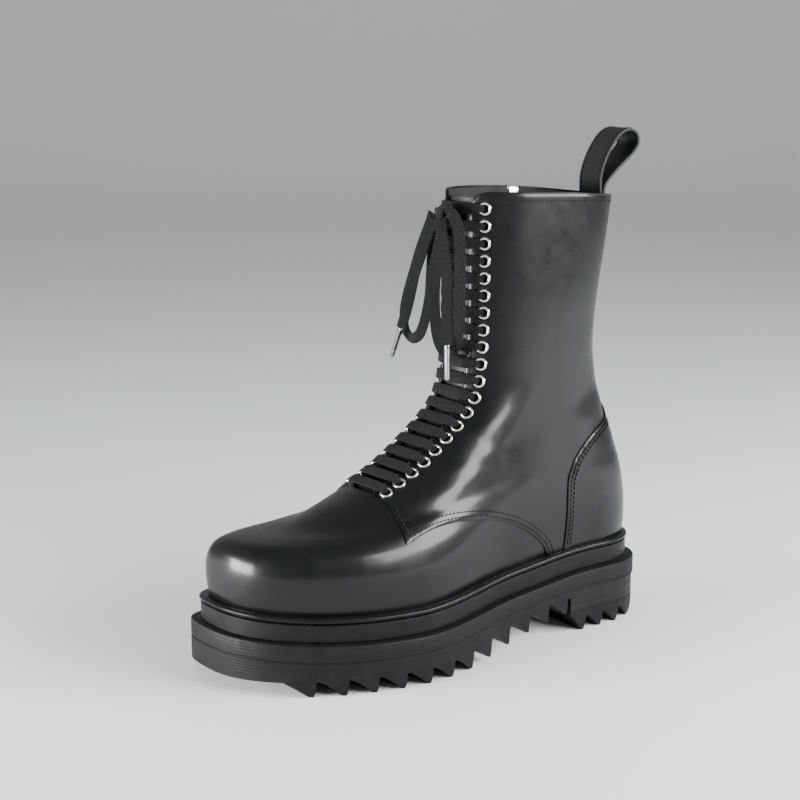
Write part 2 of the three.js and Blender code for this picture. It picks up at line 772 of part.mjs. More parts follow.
// Lace bars: one over each pair of eyelets, joined by a hidden riser inside the throat
const RISER_HALF = 3;
const RISER_LOW = -1.4;
const RISER_HIGH = 1.5;
const BAR_STATIONS = [-1, -0.74, -0.42, 0, 0.42, 0.74, 1];

function crestDirection(v) {
  const step = 0.05;
  return lastPoint(v + step, 0).sub(lastPoint(v - step, 0)).normalize();
}

function rowWhere(v, isBelow) {
  let low = v - 0.2;
  let high = Math.min(LAST_ROW, v + 4);
  for (let i = 0; i < 26; i += 1) {
    const middle = (low + high) / 2;
    if (isBelow(middle)) {
      low = middle;
    } else {
      high = middle;
    }
  }
  return (low + high) / 2;
}

// A bar is pulled straight between its two eyelets: this is the row at which it crosses the crest
function crestRow(index) {
  const { v, point } = eyeletPlace(index, 1);
  return rowWhere(v, (row) => lastPoint(row, 0).setX(0).sub(point.clone().setX(0)).dot(crestDirection(row)) < 0);
}

function laceBar(index) {
  const { v, point, seat } = eyeletPlace(index, 1);
  const reach = EYELET_HALF_SPAN + 0.4;
  const rings = [];
  const along = crestDirection(crestRow(index)).setX(0).normalize();
  for (const across of BAR_STATIONS) {
    const x = across * reach;
    const width = Math.abs(x) + 1e-6;
    const row = rowWhere(v, (middle) => (
      lastPoint(middle, loopPlaceAtHalfWidth(middle, width)).sub(point).dot(along) < 0));
    const u = loopPlaceAtHalfWidth(row, width);
    const place = x < 0 ? 1 - u : u;
    const base = lastPoint(row, place);
    const normal = lastNormal(row, place);
    const lift = mix(0.8, seat + EYELET_HEIGHT + CLEARANCE * 2 + 0.1, smooth(0.35, 0.72, Math.abs(across)));
    const low = base.clone().addScaledVector(normal, lift);
    const high = low.clone().addScaledVector(normal, LACE_THICKNESS);
    const half = along.clone().multiplyScalar(LACE_WIDTH / 2);
    rings.push([
      low.clone().sub(half).toArray(),
      low.clone().add(half).toArray(),
      high.clone().add(half.clone().multiplyScalar(0.86)).toArray(),
      high.clone().sub(half.clone().multiplyScalar(0.86)).toArray(),
    ]);
  }
  return ringsGeometry(rings);
}

function laceRiser() {
  const rings = [];
  const steps = 10;
  const bottom = crestRow(0);
  const top = crestRow(EYELET_COUNT - 1);
  for (let i = 0; i <= steps; i += 1) {
    const v = mix(bottom, top, i / steps);
    const point = lastPoint(v, 0);
    const normal = lastNormal(v, 0);
    rings.push([[-RISER_HALF, RISER_LOW], [RISER_HALF, RISER_LOW], [RISER_HALF, RISER_HIGH], [-RISER_HALF, RISER_HIGH]]
      .map(([x, offset]) => [x, point.y + normal.y * offset, point.z + normal.z * offset]));
  }
  return ringsGeometry(rings);
}

function outwardSolid(geometry) {
  const solid = solidOf(geometry);
  return solid.volume() < 0 ? solidOf(flipped(geometry)) : solid;
}

function flipped(geometry) {
  const index = Array.from(geometry.index.array);
  for (let i = 0; i < index.length; i += 3) {
    [index[i + 1], index[i + 2]] = [index[i + 2], index[i + 1]];
  }
  const result = geometry.clone();
  result.setIndex(index);
  return result;
}

function laceBars() {
  let all = outwardSolid(laceRiser());
  for (let i = 0; i < EYELET_COUNT; i += 1) {
    all = all.add(outwardSolid(laceBar(i)));
  }
  return geometryOf(all);
}

// The bow. Each cord's points are chosen by hand, in millimetres from the knot's centre.
const KNOT_DOWN = 14;
const KNOT_HALF = [7.5, 5, 6.5];
const KNOT_GAP = 0.5;
const BAR_FRONT = 0.8 + LACE_THICKNESS;

function knotCentre() {
  const v = rowDown(KNOT_DOWN);
  const point = lastPoint(v, 0);
  return new THREE.Vector3(1, point.y - BAR_FRONT - KNOT_GAP - KNOT_HALF[1], point.z);
}

const LOOP_LATERAL = [
  [7.6, -3.4, 2.2], [12.5, -3.2, 0.5], [16.6, -2.8, -6], [18.5, -2.6, -16], [18.9, -2.6, -30], [18.8, -2.6, -46],
  [18.6, -2.6, -60], [17.4, -2.6, -72], [13.4, -2.6, -82], [6.6, -2.6, -86.4], [-0.2, -2.6, -83], [-4.6, -2.6, -75],
  [-7, -2.6, -62], [-7.4, -2.6, -48], [-5.6, -2.6, -32], [-2.4, -2.8, -19], [0.8, -3.2, -9.6],
];
const LOOP_MEDIAL = [
  [-10, -2.2, 0], [-12.6, -1.6, -4.4], [-18, -1.2, -13], [-25.6, -1, -26], [-33, -1, -41], [-39.4, -1, -56],
  [-42.6, -1, -68], [-40.6, -1, -77.6], [-33.4, -1, -82], [-25.4, -1, -78.4], [-19.6, -1, -68], [-15.6, -1, -54],
  [-13.6, -1, -40], [-12, -1, -27], [-9.6, -1.4, -15.4], [-6.4, -2.2, -7.4],
];
const END_LATERAL = [
  [3.4, -6.2, -2], [5.6, -7.4, -7.6], [8.6, -7.8, -16], [12, -7.9, -30], [12.9, -7.9, -46], [12.7, -7.9, -62],
  [13, -7.9, -80],
];
const END_MEDIAL = [
  [-3.6, -5.8, -2.4], [-7.6, -6.6, -10], [-13.6, -6.9, -22], [-21.6, -7, -38], [-27.8, -7, -54], [-32.6, -7, -66],
  [-37.4, -7, -75.6],
];

function cordCurve(points) {
  const centre = knotCentre();
  const places = points.map(([x, y, z]) => new THREE.Vector3(x, y, z).add(centre));
  return new THREE.CatmullRomCurve3(places, false, 'centripetal');
}

function cord(points, steps) {
  const shape = new THREE.Shape();
  const half = LACE_WIDTH / 2;
  const thin = LACE_THICKNESS / 2;
  const corner = thin * 0.9;
  const outline = [
    [thin, -half + corner], [thin, half - corner], [thin * 0.4, half], [-thin * 0.4, half],
    [-thin, half - corner], [-thin, -half + corner], [-thin * 0.4, -half], [thin * 0.4, -half],
  ];
  outline.forEach(([x, y], i) => (i === 0 ? shape.moveTo(x, y) : shape.lineTo(x, y)));
  shape.closePath();
  const curve = cordCurve(points);
  const frames = curve.computeFrenetFrames(steps, false);
  const rings = [];
  for (let i = 0; i <= steps; i += 1) {
    const centre = curve.getPointAt(i / steps);
    const across = new THREE.Vector3().crossVectors(frames.tangents[i], new THREE.Vector3(0, 1, 0)).normalize();
    const facing = new THREE.Vector3().crossVectors(across, frames.tangents[i]).normalize();
    rings.push(outline.map(([x, y]) => centre.clone()
      .addScaledVector(facing, x).addScaledVector(across, y).toArray()));
  }
  return geometryOf(outwardSolid(ringsGeometry(rings)));
}

function aglet(points) {
  const curve = cordCurve(points);
  const end = curve.getPointAt(1);
  const direction = curve.getTangentAt(1);
  const geometry = new THREE.CylinderGeometry(AGLET_RADIUS * 0.8, AGLET_RADIUS, AGLET_LENGTH, 8);
  const mesh = new THREE.Mesh(geometryOf(solidOf(geometry)), METAL);
  mesh.quaternion.setFromUnitVectors(new THREE.Vector3(0, 1, 0), direction);
  mesh.position.copy(end).addScaledVector(direction, CLEARANCE + AGLET_LENGTH / 2);
  return mesh;
}

function knot() {
  const geometry = new THREE.SphereGeometry(1, 10, 6);
  geometry.scale(...KNOT_HALF);
  const mesh = new THREE.Mesh(geometryOf(solidOf(geometry)), LACE);
  mesh.position.copy(knotCentre());
  return mesh;
}

// Pull loop: a folded strip, both legs inside the collar's back
const LOOP_BEND = [
  [-9, 12.7], [-4, 25.7], [5, 37.7], [14, 42.2], [21.5, 39.7], [23, 32.7], [17, 25.7], [5, 16.7], [-5, 7.2],
];

function loopPath() {
  const rim = lastPoint(LAST_ROW, 0.5);
  const outerLeg = -(UPPER_WALL + LOOP_SETBACK + LOOP_THICKNESS / 2);
  const innerLeg = outerLeg - LOOP_THICKNESS - 0.6;
  const leg = (offset) => [LAST_ROW - 1, LAST_ROW - 0.5, LAST_ROW - 0.1]
    .map((v) => offPoint(v, 0.5, offset))
    .map((point) => [point.y, point.z]);
  return [
    ...leg(innerLeg),
    ...LOOP_BEND.map(([y, z]) => [rim.y + y, rim.z + z]),
    ...leg(outerLeg).reverse(),
  ];
}

function pullLoop() {
  const places = loopPath().map(([y, z]) => new THREE.Vector3(0, y, z));
  const curve = new THREE.CatmullRomCurve3(places, false, 'centripetal');
  const steps = 30;
  const left = [];
  const right = [];
  for (let i = 0; i <= steps; i += 1) {
    const place = curve.getPointAt(i / steps);
    const direction = curve.getTangentAt(i / steps);
    const half = LOOP_THICKNESS / 2;
    left.push([place.y - direction.z * half, place.z + direction.y * half]);
    right.push([place.y + direction.z * half, place.z - direction.y * half]);
  }
  return sidePrism([...left, ...right.reverse()], -LOOP_WIDTH / 2, LOOP_WIDTH / 2);
}

// Zip: tape with its chain in the slit, slider at the top, pull tab hanging from its bridge
const SLIDER_HEIGHT = 11;
const SLIDER_ABOVE = 2;
const PLATE_GAP = 0.7;
const PLATE = 1.2;

function zipTape() {
  const outer = -(UPPER_WALL - ZIP_TAPE_THICKNESS) / 2;
  const layer = solidOf(layerGeometry(outer, outer - ZIP_TAPE_THICKNESS, 3, LAST_ROW));
  const half = ZIP_SLIT / 2 - CLEARANCE;
  const top = zipFrame().position.z + SLIDER_ABOVE - 3;
  return geometryOf(layer.intersect(zipCutter(half, ZIP_LOW + CLEARANCE, top)));
}

function zipFrame() {
  const rimAtZip = collarHeight() - 4;
  let best = { gap: Infinity };
  for (let i = 0; i <= 200; i += 1) {
    const u = mix(0.53, 0.8, i / 200);
    const point = lastPoint(LAST_ROW, u);
    const gap = Math.abs(point.y - ZIP_TOP);
    if (gap < best.gap) {
      best = { gap, u, point };
    }
  }
  const low = lastPoint(LAST_ROW - 0.6, best.u);
  const up = best.point.clone().sub(low).normalize();
  const normal = lastNormal(LAST_ROW - 0.2, best.u);
  const side = new THREE.Vector3().crossVectors(up, normal).normalize();
  const out = new THREE.Vector3().crossVectors(side, up).normalize();
  const basis = new THREE.Matrix4().makeBasis(side, up, out);
  const position = best.point.clone().addScaledVector(out, -UPPER_WALL / 2);
  position.z = Math.min(best.point.z, rimAtZip);
  return { position, quaternion: new THREE.Quaternion().setFromRotationMatrix(basis) };
}

function block(x0, x1, y0, y1, z0, z1) {
  const geometry = new THREE.BoxGeometry(x1 - x0, y1 - y0, z1 - z0);
  geometry.translate((x0 + x1) / 2, (y0 + y1) / 2, (z0 + z1) / 2);
  return solidOf(geometry);
}

const BRIDGE_MIDDLE = -4;
const BRIDGE_HALF = 3.6;
const PULL_AXIS_OUT = 3.5;

function zipSlider() {
  const face = ZIP_TAPE_THICKNESS / 2 + PLATE_GAP;
  const outerFace = face + PLATE;
  const half = ZIP_SLIT / 2 - CLEARANCE * 3;
  const low = SLIDER_ABOVE - SLIDER_HEIGHT;
  let body = block(-half, half, low, SLIDER_ABOVE, face, outerFace);
  body = body.add(block(-half, half, low, SLIDER_ABOVE, -outerFace, -face));
  body = body.add(block(-half * 0.6, half * 0.6, SLIDER_ABOVE - 2.4, SLIDER_ABOVE, -outerFace, outerFace));
  const beam = PULL_AXIS_OUT + 1.2;
  body = body.add(block(-0.9, 0.9, BRIDGE_MIDDLE - BRIDGE_HALF, BRIDGE_MIDDLE + BRIDGE_HALF, beam, beam + 1));
  body = body.add(block(-0.9, 0.9, BRIDGE_MIDDLE + 2.4, BRIDGE_MIDDLE + BRIDGE_HALF, outerFace - 0.2, beam + 0.5));
  body = body.add(block(-0.9, 0.9, BRIDGE_MIDDLE - BRIDGE_HALF, BRIDGE_MIDDLE - 2.4, outerFace - 0.2, beam + 0.5));
  return geometryOf(body);
}

function zipPull() {
  const axis = PULL_AXIS_OUT;
  let tab = block(-2.9, 2.9, BRIDGE_MIDDLE - 0.6, BRIDGE_MIDDLE + 0.6, axis - 0.6, axis + 0.6);
  tab = tab.add(block(1.7, 2.9, BRIDGE_MIDDLE - 7, BRIDGE_MIDDLE + 0.6, axis - 0.6, axis + 0.6));
  tab = tab.add(block(-2.9, -1.7, BRIDGE_MIDDLE - 7, BRIDGE_MIDDLE + 0.6, axis - 0.6, axis + 0.6));
  tab = tab.add(block(-2.9, 2.9, BRIDGE_MIDDLE - 22, BRIDGE_MIDDLE - 5.6, axis - 0.6, axis + 0.6));
  return geometryOf(tab);
}

// The boot
const boot = new THREE.Group();

function addPiece(name, piece, finish) {
  const mesh = piece.isMesh ? piece : new THREE.Mesh(piece, finish);
  mesh.name = name;
  boot.add(mesh);
  return mesh;
}

addPiece('outsole', outsole(), RUBBER);
addPiece('heel', heelBlock(), STACK);
addPiece('heel_toplift', heelTopLift(), RUBBER);
addPiece('midsole', midsole(), BAND);
addPiece('welt', welt(), SHINE);
addPiece('insole', insole(), LINING);
addPiece('upper', upper(), LEATHER);
addPiece('tongue', tongue(), LEATHER);
addPiece('pull_loop', pullLoop(), LEATHER);
addPiece('lace_bars', laceBars(), LACE);
addPiece('lace_knot', knot());
addPiece('lace_loop_lateral', cord(LOOP_LATERAL, 22), LACE);
addPiece('lace_loop_medial', cord(LOOP_MEDIAL, 22), LACE);
addPiece('lace_end_lateral', cord(END_LATERAL, 9), LACE);
addPiece('lace_end_medial', cord(END_MEDIAL, 9), LACE);
addPiece('aglet_lateral', aglet(END_LATERAL));
addPiece('aglet_medial', aglet(END_MEDIAL));

for (let i = 0; i < EYELET_COUNT; i += 1) {
  const number = String(i + 1).padStart(2, '0');
  addPiece(`eyelet_lateral_${number}`, eyelet(i, 1));
  addPiece(`eyelet_medial_${number}`, eyelet(i, -1));
}

addPiece('zip_tape', zipTape(), LINING);
const zip = new THREE.Group();
const frame = zipFrame();
zip.position.copy(frame.position);
zip.quaternion.copy(frame.quaternion);
for (const [name, geometry] of [['zip_slider', zipSlider()], ['zip_pull', zipPull()]]) {
  const mesh = new THREE.Mesh(geometry, METAL);
  mesh.name = name;
  zip.add(mesh);
}
boot.add(zip);

// The frame's origin is on the ground under the middle of the boot without its bow
const CORD_NAMES = ['lace_knot', 'lace_loop', 'lace_end', 'aglet'];
boot.updateMatrixWorld(true);
const extent = new THREE.Box3();
boot.traverse((piece) => {
  if (piece.isMesh && !CORD_NAMES.some((name) => piece.name.startsWith(name))) {
    extent.expandByObject(piece);
  }
});
const middle = extent.getCenter(new THREE.Vector3());
boot.position.set(-middle.x, -middle.y, 0);

export default boot;
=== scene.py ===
"""Looks of a left platform boot: glossy black leather, bar lacing with a bow, saw-tooth rubber sole.

Lengths are millimetres in the boot's own frame: the toe points along -Y, the lateral side is +X and the
ground is z = 0. They become metres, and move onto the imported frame, where a mesh is made.
"""
import math

import bpy
import numpy as np
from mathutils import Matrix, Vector
from mathutils.geometry import delaunay_2d_cdt


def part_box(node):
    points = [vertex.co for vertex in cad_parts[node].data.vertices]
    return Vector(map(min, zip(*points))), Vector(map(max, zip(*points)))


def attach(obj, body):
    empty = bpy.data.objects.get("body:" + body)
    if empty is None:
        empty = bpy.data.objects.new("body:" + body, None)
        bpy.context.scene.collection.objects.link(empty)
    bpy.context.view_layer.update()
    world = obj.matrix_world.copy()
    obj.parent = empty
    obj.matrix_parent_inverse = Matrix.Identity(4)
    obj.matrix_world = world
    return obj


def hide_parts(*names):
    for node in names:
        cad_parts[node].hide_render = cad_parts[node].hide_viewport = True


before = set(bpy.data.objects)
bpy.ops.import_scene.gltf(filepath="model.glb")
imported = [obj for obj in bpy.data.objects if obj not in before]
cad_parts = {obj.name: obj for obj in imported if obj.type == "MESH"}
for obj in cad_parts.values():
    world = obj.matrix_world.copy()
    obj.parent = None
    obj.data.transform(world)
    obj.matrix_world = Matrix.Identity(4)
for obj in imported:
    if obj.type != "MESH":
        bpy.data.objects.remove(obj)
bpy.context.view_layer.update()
BODY = "boot"
PULL_BODY = "zip_tab"

# The boot's sizes
SOLE_LENGTH = 316
BALL_WIDTH = 110
WAIST_WIDTH = 86
HEEL_WIDTH = 75
TOE_SWING = 22
BALL_SHIFT = 6.7
LEDGE_HEIGHT = 30.7
HEEL_RISE = 10
TOE_SPRING = 4.5
LUG_DEPTH = 9.5
LUG_PITCH = 17.9
LUG_COUNT = 12
FIRST_LUG = -120.3
LUG_TIP = 2.2
LUG_ROOT = 1.6
LUG_FALL = 0.9
ARCH_LIFT = 15
HEEL_FRONT = 82
HEEL_SEAT = 28.5
TOP_LIFT = 14
HEEL_LUG_PITCH = 15.2
FIRST_HEEL_LUG = 94.5
HEEL_LUG_COUNT = 3
HEEL_INSET = 0.8
MIDSOLE_THICKNESS = 11
MIDSOLE_INSET = 5
WELT_THICKNESS = 4.2
WELT_INSET = 4.2
UPPER_INSET = 9.2
INSOLE_THICKNESS = 3
CLEARANCE = 0.3
SHAFT_HEIGHT = 245
UPPER_WALL = 2.3
VAMP_STEP = 1.3
COUNTER_STEP = 1.2
COLLAR_CORNER = 11
THROAT_HALF = 12
EYELET_HALF_SPAN = 20
EYELET_COUNT = 20
EYELET_PITCH = 10.8
TOP_EYELET_DOWN = 10
THROAT_BEYOND_EYELETS = 6
EYELET_HOLE = 2.5
EYELET_OUTER = 4.1
TONGUE_HALF = 27
LACE_WIDTH = 7
LACE_THICKNESS = 1.4
AGLET_LENGTH = 22
AGLET_RADIUS = 2.1
ZIP_TOP = 88
ZIP_BOTTOM = 76
ZIP_LOW = 100
ZIP_SLIT = 9
LOOP_WIDTH = 21
LOOP_THICKNESS = 2
LOOP_SETBACK = 3.2
HALF_LENGTH = SOLE_LENGTH / 2
HALF_BALL = BALL_WIDTH / 2

# Where the boot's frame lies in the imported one
outsole_low, outsole_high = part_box("outsole")
heel_low, heel_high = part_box("heel")
SHIFT = np.array([(heel_low.x + heel_high.x) / 2, (outsole_low.y + outsole_high.y) / 2, 0.0])
METRE = 0.001


def to_frame(points):
    return np.asarray(points, float) * METRE + SHIFT


def smooth(start, end, value):
    share = np.clip((value - start) / (end - start), 0, 1)
    return share * share * (3 - 2 * share)


def mix(a, b, share):
    return a + (b - a) * share


def unit(vectors):
    return vectors / np.linalg.norm(vectors, axis=-1, keepdims=True)


def lengths_along(points):
    """Distance along a path from its first point to each point."""
    return np.concatenate([[0], np.cumsum(np.linalg.norm(np.diff(points, axis=0), axis=1))])


def values_at(places, steps, values):
    """Rows of values between those given at steps."""
    return np.stack([np.interp(places, steps, values[..., k]) for k in range(values.shape[-1])], axis=-1)


def spline(a, b, c, d, share):
    """Catmull and Rom's cubic from b to c."""
    return 0.5 * (2 * b + (c - a) * share + (2 * a - 5 * b + 4 * c - d) * share ** 2
                  + (3 * b - a - 3 * c + d) * share ** 3)


def full_turn(count):
    return np.arange(count) / count * 2 * math.pi


def eased(values):
    """Values evened out over two neighbours on either side."""
    return np.convolve(np.pad(values, 2, "edge"), np.array([1, 2, 3, 2, 1]) / 9, "valid")


def new_object(name, data):
    piece = bpy.data.objects.new(name, data)
    bpy.context.scene.collection.objects.link(piece)
    return piece


def level_line(start, end, t, count):
    """Evenly spaced places round the upper at one height."""
    return np.stack([np.linspace(start, end, count), np.full(count, float(t))], axis=-1)


# Camera, at the photograph's place
CAMERA_PLACE = (900.5, -667.9, 384.0)
CAMERA_TARGET = (-13.2, -18.6, 160.0)
CAMERA_LENS = 81.4
SENSOR = 36


def make_camera():
    data = bpy.data.cameras.new("camera")
    data.lens = CAMERA_LENS
    data.sensor_width = SENSOR
    camera = new_object("camera", data)
    place = Vector(to_frame(CAMERA_PLACE))
    target = Vector(to_frame(CAMERA_TARGET))
    camera.location = place
    camera.rotation_euler = (target - place).to_track_quat("-Z", "Y").to_euler()
    bpy.context.scene.camera = camera


make_camera()


# Materials
def new_material(name):
    material = bpy.data.materials.new(name)
    material.use_nodes = True
    nodes = material.node_tree.nodes
    shader = nodes["Principled BSDF"]
    return material, nodes, material.node_tree.links, shader


def noise(nodes, links, coords, scale, detail=3, roughness=0.5):
    node = nodes.new("ShaderNodeTexNoise")
    node.inputs["Scale"].default_value = scale
    node.inputs["Detail"].default_value = detail
    node.inputs["Roughness"].default_value = roughness
    links.new(coords, node.inputs["Vector"])
    return node.outputs["Fac"]


def ramp(nodes, links, value, low, high, from_min=0.3, from_max=0.7):
    node = nodes.new("ShaderNodeMapRange")
    node.inputs["From Min"].default_value = from_min
    node.inputs["From Max"].default_value = from_max
    node.inputs["To Min"].default_value = low
    node.inputs["To Max"].default_value = high
    links.new(value, node.inputs["Value"])
    return node.outputs["Result"]


def two_colours(nodes, links, value, first, second):
    node = nodes.new("ShaderNodeMix")
    node.data_type = "RGBA"
    node.inputs[6].default_value = (*first, 1)
    node.inputs[7].default_value = (*second, 1)
    links.new(value, node.inputs[0])
    return node.outputs[2]


def bump(nodes, links, height, strength, distance, before=None):
    node = nodes.new("ShaderNodeBump")
    node.inputs["Strength"].default_value = strength
    node.inputs["Distance"].default_value = distance
    links.new(height, node.inputs["Height"])
    if before is not None:
        links.new(before, node.inputs["Normal"])
    return node.outputs["Normal"]


def leather_material(name, base, dark, rough, grain, coat):
    material, nodes, links, shader = new_material(name)
    coords = nodes.new("ShaderNodeTexCoord").outputs["Object"]
    cloudy = noise(nodes, links, coords, 28, 4, 0.6)
    fine = noise(nodes, links, coords, 420, 3, 0.6)
    links.new(two_colours(nodes, links, ramp(nodes, links, cloudy, 0, 1), dark, base),
              shader.inputs["Base Color"])
    smear = noise(nodes, links, coords, 60, 5, 0.65)
    links.new(ramp(nodes, links, smear, rough * 0.82, rough * 1.25), shader.inputs["Roughness"])
    cells = nodes.new("ShaderNodeTexVoronoi")
    cells.feature = "DISTANCE_TO_EDGE"
    cells.inputs["Scale"].default_value = 900
    links.new(coords, cells.inputs["Vector"])
    pores = bump(nodes, links, cells.outputs["Distance"], grain, 0.0002)
    waves = bump(nodes, links, fine, grain * 0.7, 0.0003, pores)
    soft = bump(nodes, links, noise(nodes, links, coords, 45, 2), 0.12, 0.0016, waves)
    links.new(soft, shader.inputs["Normal"])
    shader.inputs["Coat Weight"].default_value = coat
    shader.inputs["Coat Roughness"].default_value = 0.14
    shader.inputs["Specular IOR Level"].default_value = 0.2
    return material


def rubber_material(name, base, light, rough, lines=0.0):
    material, nodes, links, shader = new_material(name)
    coords = nodes.new("ShaderNodeTexCoord").outputs["Object"]
    dust = noise(nodes, links, coords, 70, 6, 0.7)
    links.new(two_colours(nodes, links, ramp(nodes, links, dust, 0, 1, 0.4, 0.75), base, light),
              shader.inputs["Base Color"])
    links.new(ramp(nodes, links, noise(nodes, links, coords, 220, 3), rough * 0.85, rough * 1.15),
              shader.inputs["Roughness"])
    edge = nodes.new("ShaderNodeBevel")
    edge.samples = 4
    edge.inputs["Radius"].default_value = 0.0006
    grit = bump(nodes, links, noise(nodes, links, coords, 1500, 2), 0.25, 0.0002, edge.outputs["Normal"])
    if lines:
        parts = nodes.new("ShaderNodeSeparateXYZ")
        links.new(coords, parts.inputs[0])
        wave = nodes.new("ShaderNodeMath")
        wave.operation = "SINE"
        scaled = nodes.new("ShaderNodeMath")
        scaled.operation = "MULTIPLY"
        scaled.inputs[1].default_value = 2 * math.pi / (lines * METRE)
        links.new(parts.outputs[2], scaled.inputs[0])
        links.new(scaled.outputs[0], wave.inputs[0])
        grit = bump(nodes, links, wave.outputs[0], 0.16, 0.0002, grit)
    links.new(grit, shader.inputs["Normal"])
    shader.inputs["Specular IOR Level"].default_value = 0.14
    return material


def lace_material():
    """Flat woven lace. Its UV map runs 0 to 1 across and in lace widths along."""
    material, nodes, links, shader = new_material("lace")
    uv = nodes.new("ShaderNodeTexCoord").outputs["UV"]
    parts = nodes.new("ShaderNodeSeparateXYZ")
    links.new(uv, parts.inputs[0])

    def math_node(kind, first, second=None):
        node = nodes.new("ShaderNodeMath")
        node.operation = kind
        for socket, value in zip(node.inputs, (first, second)):
            if value is None:
                continue
            if isinstance(value, (int, float)):
                socket.default_value = value
            else:
                links.new(value, socket)
        return node.outputs[0]

    mirrored = math_node("ABSOLUTE", math_node("SUBTRACT", parts.outputs[0], 0.5))
    slanted = math_node("ADD", math_node("MULTIPLY", parts.outputs[1], 26),
                        math_node("MULTIPLY", mirrored, 24))
    chevron = math_node("SINE", slanted)
    ribs = math_node("SINE", math_node("MULTIPLY", parts.outputs[0], 34))
    weave = math_node("MULTIPLY", chevron, ribs)
    links.new(two_colours(nodes, links, ramp(nodes, links, weave, 0, 1, -1, 1), (0.0008, 0.0008, 0.001),
                          (0.018, 0.018, 0.021)), shader.inputs["Base Color"])
    links.new(bump(nodes, links, weave, 1.0, 0.0008), shader.inputs["Normal"])
    shader.inputs["Roughness"].default_value = 0.7
    shader.inputs["Specular IOR Level"].default_value = 0.12
    shader.inputs["Sheen Weight"].default_value = 0.03
    shader.inputs["Sheen Roughness"].default_value = 0.4
    return material


def metal_material(name, colour, rough):
    material, nodes, links, shader = new_material(name)
    coords = nodes.new("ShaderNodeTexCoord").outputs["Object"]
    shader.inputs["Metallic"].default_value = 1
    links.new(two_colours(nodes, links, ramp(nodes, links, noise(nodes, links, coords, 300, 4), 0, 1), colour,
                          tuple(0.86 * c for c in colour)), shader.inputs["Base Color"])
    links.new(ramp(nodes, links, noise(nodes, links, coords, 500, 3), rough * 0.7, rough * 1.5),
              shader.inputs["Roughness"])
    return material


LEATHER = leather_material("leather", (0.0045, 0.0045, 0.005), (0.0025, 0.0025, 0.0028), 0.31, 0.04, 0.2)
STRAP_LEATHER = leather_material("strap_leather", (0.014, 0.014, 0.015), (0.008, 0.008, 0.009), 0.5, 0.16, 0)
LINING = leather_material("lining", (0.024, 0.023, 0.023), (0.014, 0.0135, 0.0135), 0.65, 0.2, 0.0)
THREAD = rubber_material("thread", (0.008, 0.008, 0.0085), (0.016, 0.016, 0.017), 0.55)
RUBBER = rubber_material("rubber", (0.005, 0.005, 0.0055), (0.0095, 0.0095, 0.0105), 0.55, 1.9)
BAND = rubber_material("band", (0.005, 0.005, 0.0055), (0.009, 0.009, 0.01), 0.42)
BEAD = rubber_material("bead", (0.005, 0.005, 0.0055), (0.008, 0.008, 0.009), 0.28)
STACK = rubber_material("stack", (0.007, 0.007, 0.0075), (0.013, 0.0125, 0.0125), 0.5, 1.2)
LACE = lace_material()
TAPE = rubber_material("tape", (0.007, 0.007, 0.008), (0.014, 0.014, 0.015), 0.8)
METAL = metal_material("metal", (0.88, 0.84, 0.79), 0.2)
TIP_METAL = metal_material("tip_metal", (0.34, 0.34, 0.35), 0.16)


# Meshes
def make_object(name, points, faces, material, sharp=None):
    mesh = bpy.data.meshes.new(name)
    mesh.from_pydata(to_frame(points).tolist(), [], [list(map(int, face)) for face in faces])
    mesh.validate()
    mesh.materials.append(material)
    mesh.polygons.foreach_set("use_smooth", [True] * len(mesh.polygons))
    if sharp is not None:
        mesh.set_sharp_from_angle(angle=math.radians(sharp))
    mesh.update()
    return new_object(name, mesh)


def settle(piece, slot, *nodes, body=BODY):
    """Puts a finished piece on its body and hides the CAD nodes that it stands for. The slot argument is not
    used.
    """
    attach(piece, body)
    if nodes:
        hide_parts(*nodes)
    return piece


def ring_faces(rings, around, closed=False, cap=True):
    """Faces of a tube of rings with as many points each. The ends are closed by one face each."""
    spans = rings if closed else rings - 1
    i = np.arange(spans)[:, None]
    j = np.arange(around)[None, :]
    here = i * around
    after = ((i + 1) % rings) * around
    k = (j + 1) % around
    quads = np.stack([here + j, here + k, after + k, after + j], axis=-1).reshape(-1, 4)
    faces = quads.tolist()
    if cap and not closed:
        faces.append(list(range(around - 1, -1, -1)))
        faces.append([(rings - 1) * around + a for a in range(around)])
    return faces


class Heap:
    """Collects many small solids into one mesh."""

    def __init__(self):
        self.points = []
        self.faces = []
        self.count = 0

    def add(self, points, faces):
        self.points.append(np.asarray(points, float))
        self.faces += [[index + self.count for index in face] for face in faces]
        self.count += len(points)

    def build(self, name, material, sharp=None):
        return make_object(name, np.concatenate(self.points), self.faces, material, sharp=sharp)


# Plan outlines, from the front end (share 0) to the back end (share 1) of a row
CAP_FRONT_SHARE = 0.38
CAP_BACK_SHARE = 0.72
COLUMNS = ("front", "rise_front", "back", "rise_back", "cap_front", "cap_back", "square_front", "square_back",
           "ball", "waist", "heel", "lowness")
